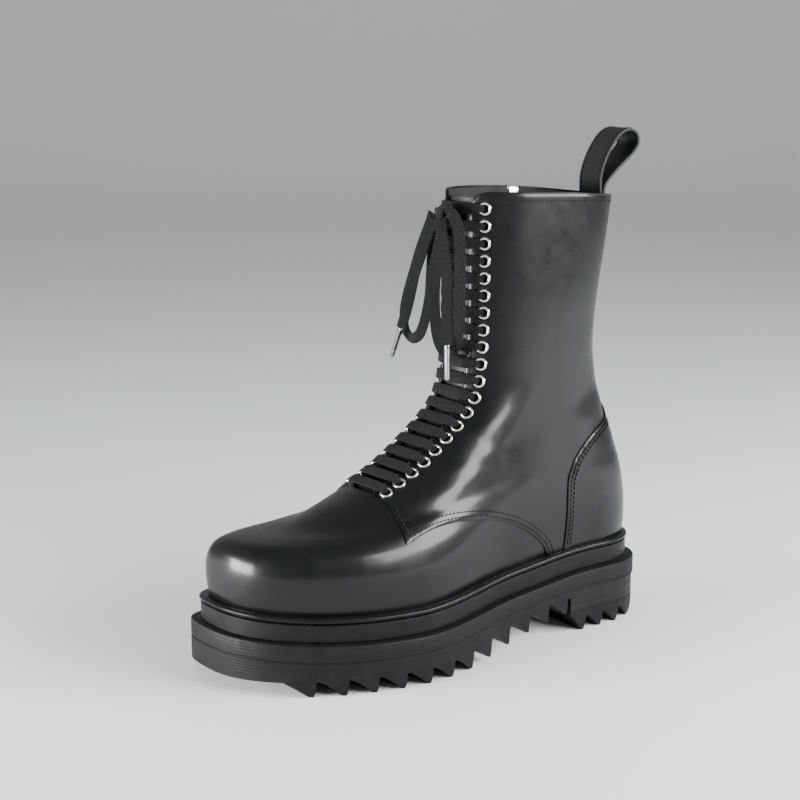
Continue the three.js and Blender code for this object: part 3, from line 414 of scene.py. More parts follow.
# The last's rows from the feather line to the collar: ends as shares of half the feather line's length,
# rises as shares of the shaft's height, caps as shares of the row, half widths as shares of the feather
# line's own there
ROWS = np.array([
    (-1, 0, 1, 0, 0.34, 0.15, 2.9, 2.3, 1, 1, 1, 1),
    (-1.015, 0.045, 1.008, 0.05, 0.345, 0.15, 2.9, 2.3, 1.033, 1.058, 1.075, 1),
    (-1.016, 0.108, 1.002, 0.11, 0.35, 0.155, 2.9, 2.3, 1.047, 1.107, 1.147, 0.9),
    (-0.995, 0.152, 0.988, 0.171, 0.355, 0.16, 2.7, 2.3, 1.015, 1.115, 1.162, 0.75),
    (-0.943, 0.177, 0.969, 0.22, 0.355, 0.165, 2.4, 2.3, 0.961, 1.11, 1.156, 0.6),
    (-0.839, 0.19, 0.945, 0.265, 0.36, 0.175, 2.2, 2.25, 0.919, 1.098, 1.137, 0.45),
    (-0.701, 0.206, 0.922, 0.31, 0.375, 0.19, 2.1, 2.2, 0.877, 1.077, 1.123, 0.3),
    (-0.563, 0.243, 0.895, 0.355, 0.4, 0.22, 2, 2.15, 0.853, 1.054, 1.117, 0.15),
    (-0.425, 0.276, 0.871, 0.4, 0.42, 0.26, 2, 2.1, 0.829, 1.033, 1.123, 0),
    (-0.282, 0.316, 0.849, 0.44, 0.44, 0.31, 2, 2.1, 0.805, 1.017, 1.137, 0),
    (-0.135, 0.373, 0.832, 0.482, 0.45, 0.36, 2.05, 2.1, 0.781, 1.006, 1.162, 0),
    (-0.02, 0.424, 0.821, 0.522, 0.455, 0.41, 2.05, 2.1, 0.769, 1.006, 1.186, 0),
    (0.053, 0.482, 0.815, 0.563, 0.46, 0.45, 2.1, 2.1, 0.769, 1.012, 1.209, 0),
    (0.078, 0.563, 0.82, 0.633, 0.47, 0.47, 2.1, 2.1, 0.775, 1.028, 1.228, 0),
    (0.089, 0.673, 0.843, 0.727, 0.48, 0.48, 2.1, 2.1, 0.781, 1.05, 1.254, 0),
    (0.09, 0.836, 0.877, 0.837, 0.48, 0.48, 2.1, 2.1, 0.793, 1.066, 1.273, 0),
    (0.09, 1, 0.907, 0.943, 0.48, 0.48, 2.1, 2.1, 0.799, 1.074, 1.283, 0),
])
LAST_ROW = len(ROWS) - 1
HALF_FEATHER = HALF_LENGTH - UPPER_INSET
HALF_WIDTHS = [width / 2 - UPPER_INSET for width in (BALL_WIDTH, WAIST_WIDTH, HEEL_WIDTH)]
UNITS = np.array([HALF_FEATHER, 1, HALF_FEATHER, 1, 1, 1, 1, 1, *HALF_WIDTHS, 1])


def centre_line(y, lowness):
    share = (y + HALF_LENGTH) / SOLE_LENGTH
    toeward = np.maximum(0, (0.36 - share) / 0.36) ** 1.6
    swung = mix(BALL_SHIFT, -TOE_SWING, toeward)
    sole = np.where(toeward > 0, swung, BALL_SHIFT * (1 - smooth(0.36, 0.75, share)))
    return mix(-0.8 * TOE_SWING * toeward, sole, lowness)


def plan_at(row, u):
    """Point of a row at loop position u: 0 front, 0.25 lateral, 0.5 back, 0.75 medial."""
    wrapped = u - np.floor(u)
    side = np.where(wrapped <= 0.5, 1.0, -1.0)
    share = np.where(wrapped <= 0.5, 2 * wrapped, 2 - 2 * wrapped)
    length = row["back"] - row["front"]
    cap_front = row["cap_front"] * length
    cap_back = row["cap_back"] * length
    front_turn = np.clip(share / CAP_FRONT_SHARE, 0, 1) * math.pi / 2
    back_turn = np.clip((share - CAP_BACK_SHARE) / (1 - CAP_BACK_SHARE), 0, 1) * math.pi / 2
    front_power = 2 / row["square_front"]
    back_power = 2 / row["square_back"]
    y_front = row["front"] + cap_front * (1 - np.abs(np.cos(front_turn)) ** front_power)
    y_back = row["back"] - cap_back * (1 - np.sin(back_turn) ** back_power)
    along = (share - CAP_FRONT_SHARE) / (CAP_BACK_SHARE - CAP_FRONT_SHARE)
    y_middle = mix(row["front"] + cap_front, row["back"] - cap_back, along)
    in_front = share < CAP_FRONT_SHARE
    in_middle = share < CAP_BACK_SHARE
    y = np.where(in_front, y_front, np.where(in_middle, y_middle, y_back))
    fullness = np.where(in_front, np.sin(front_turn) ** front_power,
                        np.where(in_middle, 1, np.abs(np.cos(back_turn)) ** back_power))
    fullness = np.where(share >= 1, 0, fullness)
    station = (y + HALF_LENGTH) / SOLE_LENGTH
    half = mix(row["ball"], row["waist"], smooth(0.34, 0.62, station))
    half = mix(half, row["heel"], smooth(0.62, 0.85, station))
    return centre_line(y, row["lowness"]) + side * fullness * half, y


def sole_plan(inset):
    return {"front": -HALF_LENGTH + inset, "back": HALF_LENGTH - inset, "cap_front": 0.34, "cap_back": 0.15,
            "square_front": 2.9, "square_back": 2.3, "ball": HALF_BALL - inset,
            "waist": WAIST_WIDTH / 2 - inset, "heel": HEEL_WIDTH / 2 - inset, "lowness": 1.0}


def ledge_height(y):
    toeward = np.maximum(0, (-y / HALF_LENGTH - 0.44) / 0.56)
    rise = HEEL_RISE * smooth(-0.38 * HALF_LENGTH, 0.7 * HALF_LENGTH, y)
    return LEDGE_HEIGHT + rise + TOE_SPRING * toeward ** 2


def feather_height(y):
    return ledge_height(y) + CLEARANCE + MIDSOLE_THICKNESS + CLEARANCE


def row_at(v):
    place = np.clip(v, 0, LAST_ROW)
    index = np.minimum(LAST_ROW - 1, np.floor(place).astype(int))
    share = (place - index)[..., None]
    rows = [ROWS[np.clip(index + step, 0, LAST_ROW)] for step in (-1, 0, 1, 2)]
    values = spline(*rows, share) * UNITS
    return {name: values[..., i] for i, name in enumerate(COLUMNS)}


def last_point(u, v):
    row = row_at(v)
    x, y = plan_at(row, u)
    along = (y - row["front"]) / (row["back"] - row["front"])
    rise = mix(row["rise_front"], row["rise_back"], along) * SHAFT_HEIGHT
    return np.stack([x, y, feather_height(y) + rise], axis=-1)


# Even coordinates on the upper: s runs round each row by length, t up the side by length
TABLE_ROWS = 161
TABLE_TURNS = 721


def even_tables():
    v = np.linspace(0, LAST_ROW, TABLE_ROWS)
    u = np.linspace(0, 1, TABLE_TURNS)
    grid_v, grid_u = np.meshgrid(v, u, indexing="ij")
    points = last_point(grid_u, grid_v)
    steps = np.linalg.norm(np.diff(points, axis=1), axis=2)
    lengths = np.concatenate([np.zeros((TABLE_ROWS, 1)), np.cumsum(steps, axis=1)], axis=1)
    lengths /= lengths[:, -1:]
    inverse = np.array([np.interp(u, lengths[i], u) for i in range(TABLE_ROWS)])
    height = lengths_along(last_point(np.full(TABLE_ROWS, 0.25), v))
    return inverse, v, height / height[-1]


TURN_TABLE, ROW_VALUES, ROW_HEIGHTS = even_tables()


def surface(s, t):
    """Point on the quarter's outer face at even coordinates."""
    s, t = np.broadcast_arrays(np.asarray(s, float), np.asarray(t, float))
    v = np.interp(t, ROW_HEIGHTS, ROW_VALUES)
    wrapped = s - np.floor(s)
    row = np.clip(v / LAST_ROW * (TABLE_ROWS - 1), 0, TABLE_ROWS - 1.001)
    turn = np.clip(wrapped * (TABLE_TURNS - 1), 0, TABLE_TURNS - 1.001)
    i = row.astype(int)
    j = turn.astype(int)
    fi = row - i
    fj = turn - j
    u = (TURN_TABLE[i, j] * (1 - fi) * (1 - fj) + TURN_TABLE[i + 1, j] * fi * (1 - fj)
         + TURN_TABLE[i, j + 1] * (1 - fi) * fj + TURN_TABLE[i + 1, j + 1] * fi * fj)
    return last_point(u, v)


def normal_at(s, t):
    s, t = np.broadcast_arrays(np.asarray(s, float), np.asarray(t, float))
    ds = 0.004
    dt = 0.006
    along_s = surface(s + ds, t) - surface(s - ds, t)
    along_t = surface(s, np.minimum(1, t + dt)) - surface(s, np.maximum(0, t - dt))
    return unit(np.cross(along_s, along_t))


def off_surface(st, offset):
    st = np.asarray(st, float)
    offset = np.asarray(offset, float)[..., None] if np.ndim(offset) else offset
    return surface(st[..., 0], st[..., 1]) + normal_at(st[..., 0], st[..., 1]) * offset


SEARCH_S = np.linspace(0, 1, 241)
SEARCH_T = np.linspace(0, 1, 161)
SEARCH = surface(SEARCH_S[:, None], SEARCH_T[None, :])


def locate(targets, axes, low_s, high_s):
    """Even coordinates of the surface points whose two given coordinates are the targets."""
    axes = list(axes)
    columns = (SEARCH_S >= low_s) & (SEARCH_S <= high_s)
    s_values = SEARCH_S[columns]
    grid = SEARCH[columns][:, :, axes]
    found = []
    for target in np.asarray(targets, float):
        gap = ((grid - target) ** 2).sum(axis=2)
        i, j = np.unravel_index(np.argmin(gap), gap.shape)
        s, t = s_values[i], SEARCH_T[j]
        for _ in range(12):
            here = surface(s, t)[axes]
            ds = (surface(s + 1e-4, t)[axes] - here) / 1e-4
            dt = (surface(s, min(1, t + 1e-4))[axes] - surface(s, min(1, t + 1e-4) - 1e-4)[axes]) / 1e-4
            jacobian = np.stack([ds, dt], axis=1)
            if abs(np.linalg.det(jacobian)) < 1e-3:
                break
            move = np.linalg.solve(jacobian, target - here)
            size = np.abs(move).max()
            move *= min(1, 0.03 / max(size, 1e-9))
            s = float(np.clip(s + move[0], low_s, high_s))
            t = float(np.clip(t + move[1], 0, 1))
        found.append((s, t))
    return np.array(found)


def side_curve(yz, side):
    """Side view points (y, z) laid on the lateral (+1) or medial (-1) side."""
    if side > 0:
        return locate(yz, (1, 2), 0.02, 0.5)
    return locate(yz, (1, 2), 0.5, 0.98)


def place_at_half(half, t):
    """Lateral place at height t whose x is a given half width."""
    low = np.zeros_like(t)
    high = np.full_like(t, 0.2)
    for _ in range(30):
        middle = (low + high) / 2
        below = surface(middle, t)[..., 0] < half
        low = np.where(below, middle, low)
        high = np.where(below, high, middle)
    return (low + high) / 2


def mirrored(st):
    st = np.array(st, float)
    st[..., 0] = 1 - st[..., 0]
    return st


def facing_places(half, distances):
    """Even coordinates on the facing at a half width, at distances down from the collar."""
    t = np.linspace(1, 0.2, 500)
    s = place_at_half(half, t)
    return values_at(distances, lengths_along(surface(s, t)), np.stack([s, t], axis=-1))


def height_down(distance):
    """Height coordinate on the eyelets' line at a distance down from the collar."""
    return float(facing_places(EYELET_HALF_SPAN, np.array([distance]))[0, 1])


EYELET_DOWN = TOP_EYELET_DOWN + EYELET_PITCH * np.arange(EYELET_COUNT - 1, -1, -1)
EYELET_PLACES = facing_places(EYELET_HALF_SPAN, EYELET_DOWN)
THROAT_LENGTH = TOP_EYELET_DOWN + (EYELET_COUNT - 1) * EYELET_PITCH + THROAT_BEYOND_EYELETS
THROAT_T = height_down(THROAT_LENGTH)
COLLAR_HEIGHT = float(feather_height(0.0)) + SHAFT_HEIGHT


# Panels: a region in even coordinates, filled with a lattice and given a thickness
# Rough millimetres round and up the upper, which make the lattice's cells nearly square
DOMAIN = np.array([620.0, 262.0])


def densify(points, step):
    points = np.asarray(points, float)
    result = []
    count = len(points)
    for i in range(count):
        a = points[i]
        b = points[(i + 1) % count]
        pieces = max(1, int(math.ceil(np.linalg.norm(b - a) / step)))
        result += [mix(a, b, k / pieces) for k in range(pieces)]
    return np.array(result)


def inside(points, loops):
    """Which points lie inside an odd number of loops."""
    odd = np.zeros(len(points), bool)
    for loop in loops:
        x1, y1 = loop[:, 0], loop[:, 1]
        x2, y2 = np.roll(x1, -1), np.roll(y1, -1)
        for a, b, c, d in zip(x1, y1, x2, y2):
            if b == d:
                continue
            crosses = (b > points[:, 1]) != (d > points[:, 1])
            at = a + (points[:, 1] - b) * (c - a) / (d - b)
            odd ^= crosses & (points[:, 0] < at)
    return odd


def panel_mesh(outline, holes, cell):
    """Vertices (s, t) and triangles of a region."""
    loops = [densify(np.asarray(outline) * DOMAIN, cell * 0.8)]
    loops += [np.asarray(hole) * DOMAIN for hole in holes]
    low = loops[0].min(axis=0)
    high = loops[0].max(axis=0)
    columns = int((high[0] - low[0]) / cell) + 2
    rows = int((high[1] - low[1]) / cell) + 2
    taken = np.zeros((columns + 1, rows + 1), bool)
    for loop in loops:
        fine = densify(loop, cell * 0.3)
        index = np.round((fine - low) / cell).astype(int)
        taken[np.clip(index[:, 0], 0, columns), np.clip(index[:, 1], 0, rows)] = True
    i, j = np.nonzero(~taken)
    lattice = low + np.stack([i, j], axis=-1) * cell
    lattice = lattice[inside(lattice, loops)]
    points = np.concatenate(loops + [lattice])
    edges = []
    start = 0
    for loop in loops:
        count = len(loop)
        edges += [(start + k, start + (k + 1) % count) for k in range(count)]
        start += count
    out_points, _, out_faces, *_ = delaunay_2d_cdt([Vector(p) for p in points], edges, [], 0, 1e-5)
    vertices = np.array([tuple(p) for p in out_points])
    faces = np.array([face for face in out_faces if len(face) == 3])
    middles = vertices[faces].mean(axis=1)
    faces = faces[inside(middles, loops)]
    a, b, c = (vertices[faces[:, k]] for k in range(3))
    area = (b[:, 0] - a[:, 0]) * (c[:, 1] - a[:, 1]) - (b[:, 1] - a[:, 1]) * (c[:, 0] - a[:, 0])
    faces = faces[np.abs(area) > 1e-6]
    area = area[np.abs(area) > 1e-6]
    faces[area < 0] = faces[area < 0][:, ::-1]
    used, faces = np.unique(faces, return_inverse=True)
    return vertices[used] / DOMAIN, faces.reshape(-1, 3)


def border_of(faces):
    seen = {}
    for face in faces.tolist():
        for k in range(3):
            a, b = face[k], face[(k + 1) % 3]
            seen[(a, b)] = True
    return [(a, b) for a, b in seen if (b, a) not in seen]


def panel(name, outline, holes, outer, inner, cell, material, edge_drop=0.4, shape=None):
    """A closed sheet between two offsets from the surface, its outer edge let down a little."""
    st, faces = panel_mesh(outline, holes, cell)
    border = border_of(faces)
    rim = np.unique(np.array(border))
    lift = np.full(len(st), float(outer))
    if shape is not None:
        lift += shape(surface(*st.T))
    lift[rim] -= edge_drop
    top = off_surface(st, lift)
    bottom = off_surface(st, inner)
    count = len(st)
    all_faces = faces.tolist() + (faces[:, ::-1] + count).tolist()
    all_faces += [[b, a, a + count, b + count] for a, b in border]
    piece = make_object(name, np.concatenate([top, bottom]), all_faces, material)
    sharp_rim(piece, count, border)
    return piece


def sharp_rim(piece, count, border):
    """Marks the edge between the outer face and the cut edge as sharp."""
    keys = {tuple(sorted(edge)) for edge in border}
    keys |= {tuple(sorted((a + count, b + count))) for a, b in border}
    mesh = piece.data
    flags = [tuple(sorted(edge.vertices)) in keys for edge in mesh.edges]
    attribute = mesh.attributes.get("sharp_edge") or mesh.attributes.new("sharp_edge", "BOOLEAN", "EDGE")
    attribute.data.foreach_set("value", flags)


# Soft troughs and ridges: a place (y, z), a direction in degrees, length, width, depth, and the side
CREASES = (
    # y, z, angle, length, width, depth, side
    (104, 128, 12, 46, 11, 0.45, 1),
    (108, 146, 24, 40, 10, -0.3, 1),
    (96, 112, -4, 40, 12, 0.3, 1),
    (8, 140, 150, 22, 6, 0.35, 1),
    (16, 128, 146, 24, 6, -0.22, 1),
    (-14, 116, 150, 20, 6, 0.25, 1),
    (104, 128, 10, 46, 11, 0.45, -1),
    (108, 146, 22, 40, 10, -0.3, -1),
    (20, 134, 150, 30, 8, 0.3, -1),
    (-76, 92, 80, 30, 9, 0.18, 1),
    (-64, 96, 76, 34, 9, 0.2, 1),
    (-70, 94, 78, 34, 9, 0.2, -1),
)


def creased(points):
    lift = np.zeros(len(points))
    for y, z, angle, length, width, depth, side in CREASES:
        turn = math.radians(angle)
        dy = points[:, 1] - y
        dz = points[:, 2] - z
        along = dy * math.cos(turn) + dz * math.sin(turn)
        across = dz * math.cos(turn) - dy * math.sin(turn) + 0.004 * along ** 2
        reach = np.exp(-(along / length) ** 2 * 2 - (across / width) ** 2)
        lift -= depth * reach * smooth(-4, 10, points[:, 0] * side)
    return lift


# Outlines of the upper's regions in the side view
CREST_POINT = surface(0.0, THROAT_T)
THROAT_Y = float(CREST_POINT[1])
VAMP_TOP = float(feather_height(-HALF_LENGTH * 0.3))
SHARES = np.array([HALF_LENGTH, SHAFT_HEIGHT])
# Steps in the wall: shares of half the sole's length behind the throat or the counter's foot, and of the
# shaft's height above the feather line there
QUARTER_SHARES = np.array([
    (0.093, 0.262), (0.087, 0.178), (0.165, 0.194), (0.25, 0.204), (0.37, 0.205),
    (0.49, 0.195), (0.59, 0.177), (0.683, 0.153), (0.755, 0.125), (0.809, 0.098),
    (0.848, 0.073),
])
QUARTER_EDGE = np.array([THROAT_Y, VAMP_TOP]) + QUARTER_SHARES * SHARES
COUNTER_FRONT = HALF_LENGTH * 0.513
COUNTER_FOOT = float(feather_height(COUNTER_FRONT))
COUNTER_SHARES = np.array([
    (0, 0.008), (0, 0.19), (0.02, 0.235), (0.055, 0.27), (0.115, 0.305), (0.19, 0.332), (0.285, 0.352),
])
COUNTER_EDGE = np.array([COUNTER_FRONT, COUNTER_FOOT]) + COUNTER_SHARES * SHARES
EDGE_FOOT = QUARTER_EDGE[-1] + np.array([0.03, -0.042]) * SHARES


def curve_through(points, count):
    """Smooth curve through points, evenly spaced, with the ends led on straight."""
    points = np.asarray(points, float)
    padded = np.concatenate([[2 * points[0] - points[1]], points, [2 * points[-1] - points[-2]]])
    shares = np.linspace(0, 1, 24, endpoint=False)[:, None]
    fine = np.concatenate([*(spline(*padded[i:i + 4], shares) for i in range(len(points) - 1)), points[-1:]])
    length = lengths_along(fine)
    return values_at(np.linspace(0, length[-1], count), length, fine)


def shifted_curve(points, distance):
    """A plane curve moved sideways, to the left of its direction."""
    tangent = unit(np.gradient(points, axis=0))
    return points + np.stack([-tangent[:, 1], tangent[:, 0]], axis=-1) * distance


def collar_corner():
    """The rounded corner between the facing and the collar, from the facing up to the collar."""
    inner = THROAT_HALF - 0.5
    top = float(surface(place_at_half(inner + COLLAR_CORNER, np.array([1.0])), np.array([1.0]))[0, 2])
    turns = np.linspace(math.pi, math.pi / 2, 9)
    x = inner + COLLAR_CORNER * (1 + np.cos(turns))
    z = top - COLLAR_CORNER * (1 - np.sin(turns))
    return locate(np.stack([x, z], axis=-1), (0, 2), 0.0, 0.2)


CORNER = collar_corner()
EDGE_T = np.linspace(THROAT_T - 0.02, THROAT_T + 0.12, 60)
EDGE_Y = surface(place_at_half(THROAT_HALF - 0.1, EDGE_T), EDGE_T)[:, 1]
FACING_T = np.linspace(float(np.interp(QUARTER_EDGE[0, 0], EDGE_Y, EDGE_T)), CORNER[0, 1], 90)
FACING = np.stack([place_at_half(THROAT_HALF - 0.1, FACING_T), FACING_T], axis=-1)
QUARTER_FRONT = [side_curve(curve_through(QUARTER_EDGE[:2], 8)[:-1], side) for side in (1, -1)]
QUARTER_LOW = [side_curve(curve_through([*QUARTER_EDGE[1:], EDGE_FOOT], 60), side) for side in (1, -1)]


NOTCH_TOP = 286


def zip_line_y(z):
    return ZIP_BOTTOM + (z - ZIP_LOW) * (ZIP_TOP - ZIP_BOTTOM) / (COLLAR_HEIGHT - ZIP_LOW)


def zip_notch(half, low):
    """Medial slit from the collar down and back up, as even coordinates."""
    heights = np.linspace(NOTCH_TOP, low + half, 40)
    rear = np.stack([zip_line_y(heights) + half, heights], axis=-1)
    turns = np.linspace(0, -math.pi, 9)[1:-1]
    bottom = np.stack([np.cos(turns), np.sin(turns)], axis=-1) * half + (zip_line_y(low + half), low + half)
    fore = np.stack([zip_line_y(heights[::-1]) - half, heights[::-1]], axis=-1)
    notch = side_curve(np.concatenate([rear, bottom, fore]), -1)
    first = notch[0].copy()
    final = notch[-1].copy()
    first[1] = 1.0
    final[1] = 1.0
    return np.concatenate([[first], notch, [final]])


ZIP_NOTCH = zip_notch(ZIP_SLIT / 2, ZIP_LOW)


def collar_lines(t, lateral_count, medial_count):
    """The collar's two stretches, up to the zip and behind it."""
    return (level_line(CORNER[-1, 0], ZIP_NOTCH[0, 0], t, lateral_count),
            level_line(ZIP_NOTCH[-1, 0], 1 - CORNER[-1, 0], t, medial_count))


def quarters_outline():
    """From the lateral throat end up the facing, round the collar and the zip, and back along the welt."""
    collar, rest = collar_lines(1, 160, 40)
    lateral_foot = QUARTER_LOW[0][-1]
    medial_foot = QUARTER_LOW[1][-1]
    welt = level_line(medial_foot[0], lateral_foot[0], 0, 160)
    return np.concatenate([
        FACING, CORNER[1:], collar[1:], ZIP_NOTCH[1:], rest[1:], mirrored(CORNER[::-1])[1:],
        mirrored(FACING[::-1])[1:], QUARTER_FRONT[1], QUARTER_LOW[1], welt, QUARTER_LOW[0][::-1],
        QUARTER_FRONT[0][::-1],
    ])


def lengths_per_unit(s, t):
    """Millimetres that one unit of s and of t take up at a place."""
    step = 0.002
    round_it = surface(s + step, t) - surface(s - step, t)
    up_it = surface(s, t + step) - surface(s, t - step)
    return np.linalg.norm(round_it) / (2 * step), np.linalg.norm(up_it) / (2 * step)


def circle_holes():
    """Loops of even coordinates round each eyelet hole."""
    holes = []
    turns = full_turn(14)
    for place in EYELET_PLACES:
        per_s, per_t = lengths_per_unit(*place)
        loop = place + EYELET_HOLE * np.stack([np.cos(turns) / per_s, np.sin(turns) / per_t], axis=-1)
        holes += [loop, mirrored(loop)]
    return holes


HOLES = circle_holes()


def make_quarters():
    piece = panel("quarters", quarters_outline(), HOLES, 0, -1.25, 1.75, LEATHER, shape=creased)
    return settle(piece, "leather", "upper")


def make_vamp():
    """The forepart, which runs on under the quarters."""
    reach = 7
    low = [side_curve(shifted_curve(curve_through([*QUARTER_EDGE[2:], EDGE_FOOT], 50), reach), side)
           for side in (1, -1)]
    low[0][-1, 1] = 0
    low[1][-1, 1] = 0
    top = height_down(THROAT_LENGTH - 12)
    across = np.linspace(low[0][0, 0] * 0.9, 1 - low[0][0, 0] * 0.9, 3)
    welt_lateral = level_line(low[0][-1, 0], 0, 0, 80)
    welt_medial = level_line(0, low[1][-1, 0] - 1, 0, 80)
    medial = low[1].copy()
    medial[:, 0] -= 1
    bridge = np.array([(across[0], top), (0, top), (across[2] - 1, top)])
    outline = np.concatenate([low[0], welt_lateral, welt_medial[1:], medial[::-1][1:], bridge[::-1]])
    piece = panel("vamp", outline, [], -VAMP_STEP, -1.9, 1.8, LEATHER, edge_drop=0, shape=creased)
    return settle(piece, "leather")


def make_counter():
    lateral = side_curve(curve_through(COUNTER_EDGE, 40), 1)
    medial = side_curve(curve_through(COUNTER_EDGE, 40), -1)
    back = float(surface(0.5, 0.4)[1]) - 1
    peak = locate([(back, COUNTER_FOOT + 95)], (1, 2), 0.4, 0.5)[0, 1]
    top = level_line(lateral[-1, 0], medial[-1, 0], 0, 40)
    across = np.linspace(-1, 1, 40)
    top[:, 1] = mix(lateral[-1, 1], peak, np.sqrt(np.maximum(0, 1 - across ** 2)))
    foot = level_line(medial[0, 0], lateral[0, 0], 0.012, 60)
    outline = np.concatenate([lateral, top[1:-1], medial[::-1], foot[1:-1]])
    piece = panel("counter", outline, [], COUNTER_STEP, 0.02, 1.8, LEATHER, shape=creased)
    return settle(piece, "leather")


def make_lining():
    margin = 0.4
    collar, rest = collar_lines(0.998, 100, 30)
    inner_facing = FACING + np.array([margin / DOMAIN[0], 0])
    fold = np.array([(0.999, THROAT_T), (0.999, 0.0)])
    outline = np.concatenate([
        inner_facing, CORNER[1:], collar[1:], ZIP_NOTCH[1:-1], rest[1:], mirrored(CORNER[::-1])[1:],
        mirrored(inner_facing[::-1])[1:], fold, [(0.0, 0.0), (0.0, THROAT_T)],
    ])
    piece = panel("lining", outline, HOLES, -1.92, -UPPER_WALL, 3.2, LINING, edge_drop=0)
    return settle(piece, "lining")


def make_tongue():
    t = np.linspace(height_down(THROAT_LENGTH + 14), 0.982, 70)
    edge = np.stack([place_at_half(TONGUE_HALF - 0.5, t), t], axis=-1)
    medial = mirrored(edge)
    medial[:, 0] -= 1
    low = level_line(medial[0, 0], edge[0, 0], t[0], 20)
    top_t = t[-1] + 0.006 * np.sqrt(np.maximum(0, 1 - np.linspace(-1, 1, 20) ** 2))
    top = np.stack([np.linspace(edge[-1, 0], medial[-1, 0], 20), top_t], axis=-1)
    outline = np.concatenate([low[:-1], edge, top[1:-1], medial[::-1]])

    def padded(points):
        return 0.25 * np.cos(points[:, 0] / TONGUE_HALF * math.pi / 2)

    piece = panel("tongue_flap", outline, [], -(UPPER_WALL + 0.95), -(UPPER_WALL + 2.5), 2.4, STRAP_LEATHER,
                  edge_drop=0.3, shape=padded)
    return settle(piece, "leather", "tongue")


# Strips, tubes and threads
def frames_along(points, up):
    """Tangent, side and face directions of a strip whose face looks along up as far as it can."""
    points = np.asarray(points, float)
    tangent = unit(np.gradient(points, axis=0))
    across = unit(np.cross(tangent, np.broadcast_to(np.asarray(up, float), points.shape)))
    return tangent, across, np.cross(across, tangent)


def strip_section(width, thickness, count=12, power=4.0):
    """Rounded flat section, anticlockwise about the direction of travel."""
    turns = full_turn(count)
    x = np.sign(np.cos(turns)) * np.abs(np.cos(turns)) ** (2 / power) * width / 2
    y = np.sign(np.sin(turns)) * np.abs(np.sin(turns)) ** (2 / power) * thickness / 2
    return np.stack([x, y], axis=-1)


def ribbon_section(width, thickness, corner=0.3):
    """Flat section with its corners broken, anticlockwise, with a point at the middle of each broad face."""
    x = width / 2
    y = thickness / 2
    return np.array([(x, -y + corner), (x, y - corner), (x - corner, y), (0, y), (-x + corner, y),
                     (-x, y - corner), (-x, -y + corner), (-x + corner, -y), (0, -y), (x - corner, -y)])


def sweep(points, up, section, scale=None):
    """Points and faces of a section carried along a path. scale gives (across, face) factors per point."""
    _, across, face = frames_along(points, up)
    scale = np.ones((len(points), 2)) if scale is None else np.asarray(scale, float)
    rings = (np.asarray(points)[:, None, :]
             + across[:, None, :] * (section[None, :, 0, None] * scale[:, None, 0, None])
             + face[:, None, :] * (section[None, :, 1, None] * scale[:, None, 1, None]))
    return rings.reshape(-1, 3), [face[::-1] for face in ring_faces(len(points), len(section))]


def strip_uv(path, section):
    """UV across and along a strip, in strip widths."""
    width = np.ptp(section[:, 0])
    across = (section[:, 0] - section[:, 0].min()) / width
    along = np.repeat(lengths_along(path) / width, len(section))
    return np.stack([np.tile(across, len(path)), along], axis=-1)


def set_uv(piece, values):
    layer = piece.data.uv_layers.new(name="strip")
    index = np.zeros(len(piece.data.loops), np.int32)
    piece.data.loops.foreach_get("vertex_index", index)
    layer.data.foreach_set("uv", values[index].astype(np.float32).ravel())


STITCH_SECTION = strip_section(0.75, 0.75, 6, 2.0)


def add_stitches(heap, points, normals, pitch=3.0, length=2.3, lift=0.16):
    """A row of short raised threads along a line on the surface."""
    points = np.asarray(points, float)
    steps = lengths_along(points)
    count = int(steps[-1] / pitch)
    for i in range(count):
        middle = (i + 0.5) * steps[-1] / count
        spots = middle + np.array([-0.5, -0.32, 0, 0.32, 0.5]) * length
        path = values_at(spots, steps, points)
        normal = values_at(middle, steps, normals)
        path += normal * (lift + np.array([-0.35, 0.02, 0.12, 0.02, -0.35]))[:, None]
        scale = np.array([0.45, 0.95, 1, 0.95, 0.45])[:, None] * np.ones(2)
        heap.add(*sweep(path, normal, STITCH_SECTION, scale))


def stitch_surface(heap, st, offset, **options):
    add_stitches(heap, off_surface(st, offset), normal_at(*st.T), **options)


def make_stitching():
    heap = Heap()
    for side in (1, -1):
        for distance in (2.4, 5.2):
            edge = shifted_curve(curve_through([*QUARTER_EDGE[1:], EDGE_FOOT], 80), distance)[2:]
            stitch_surface(heap, side_curve(edge, side), 0)
        front = QUARTER_EDGE[[1, 0]] + np.array([(2.6, 4.0), (2.6, -2.0)])
        stitch_surface(heap, side_curve(curve_through(front, 8), side), 0)
        tack = QUARTER_EDGE[1] + np.array([(2.4, 11.4), (8.6, 12.2)])
        for shift in (0, 0.9):
            stitch_surface(heap, side_curve(curve_through(tack + shift, 6), side), 0.2, pitch=1.4, length=1.3)
        facing = facing_places(THROAT_HALF + 2.6, np.linspace(14, THROAT_LENGTH - 3, 120))
        stitch_surface(heap, facing if side > 0 else mirrored(facing), 0)
        for distance in (2.2, 4.8):
            counter = shifted_curve(curve_through(COUNTER_EDGE, 60), -distance)[3:]
            stitch_surface(heap, side_curve(counter, side), COUNTER_STEP)
    collar = level_line(CORNER[-1, 0] + 0.01, 1 - CORNER[-1, 0] - 0.01, 0.982, 300)
    near_zip = np.abs(surface(*collar.T)[:, 1] - ZIP_TOP) < ZIP_SLIT
    medial_zip = near_zip & (collar[:, 0] > 0.5)
    before = collar[:np.argmax(medial_zip)]
    after = collar[len(collar) - np.argmax(medial_zip[::-1]):]
    stitch_surface(heap, before, 0)
    stitch_surface(heap, after, 0)
    for half in (ZIP_SLIT / 2 + 2.4, ZIP_SLIT / 2 + 5):
        stitch_surface(heap, zip_notch(half, ZIP_LOW + 2.4 - half)[3:-3], 0)
    piece = heap.build("stitching", THREAD)
    return settle(piece, "leather")


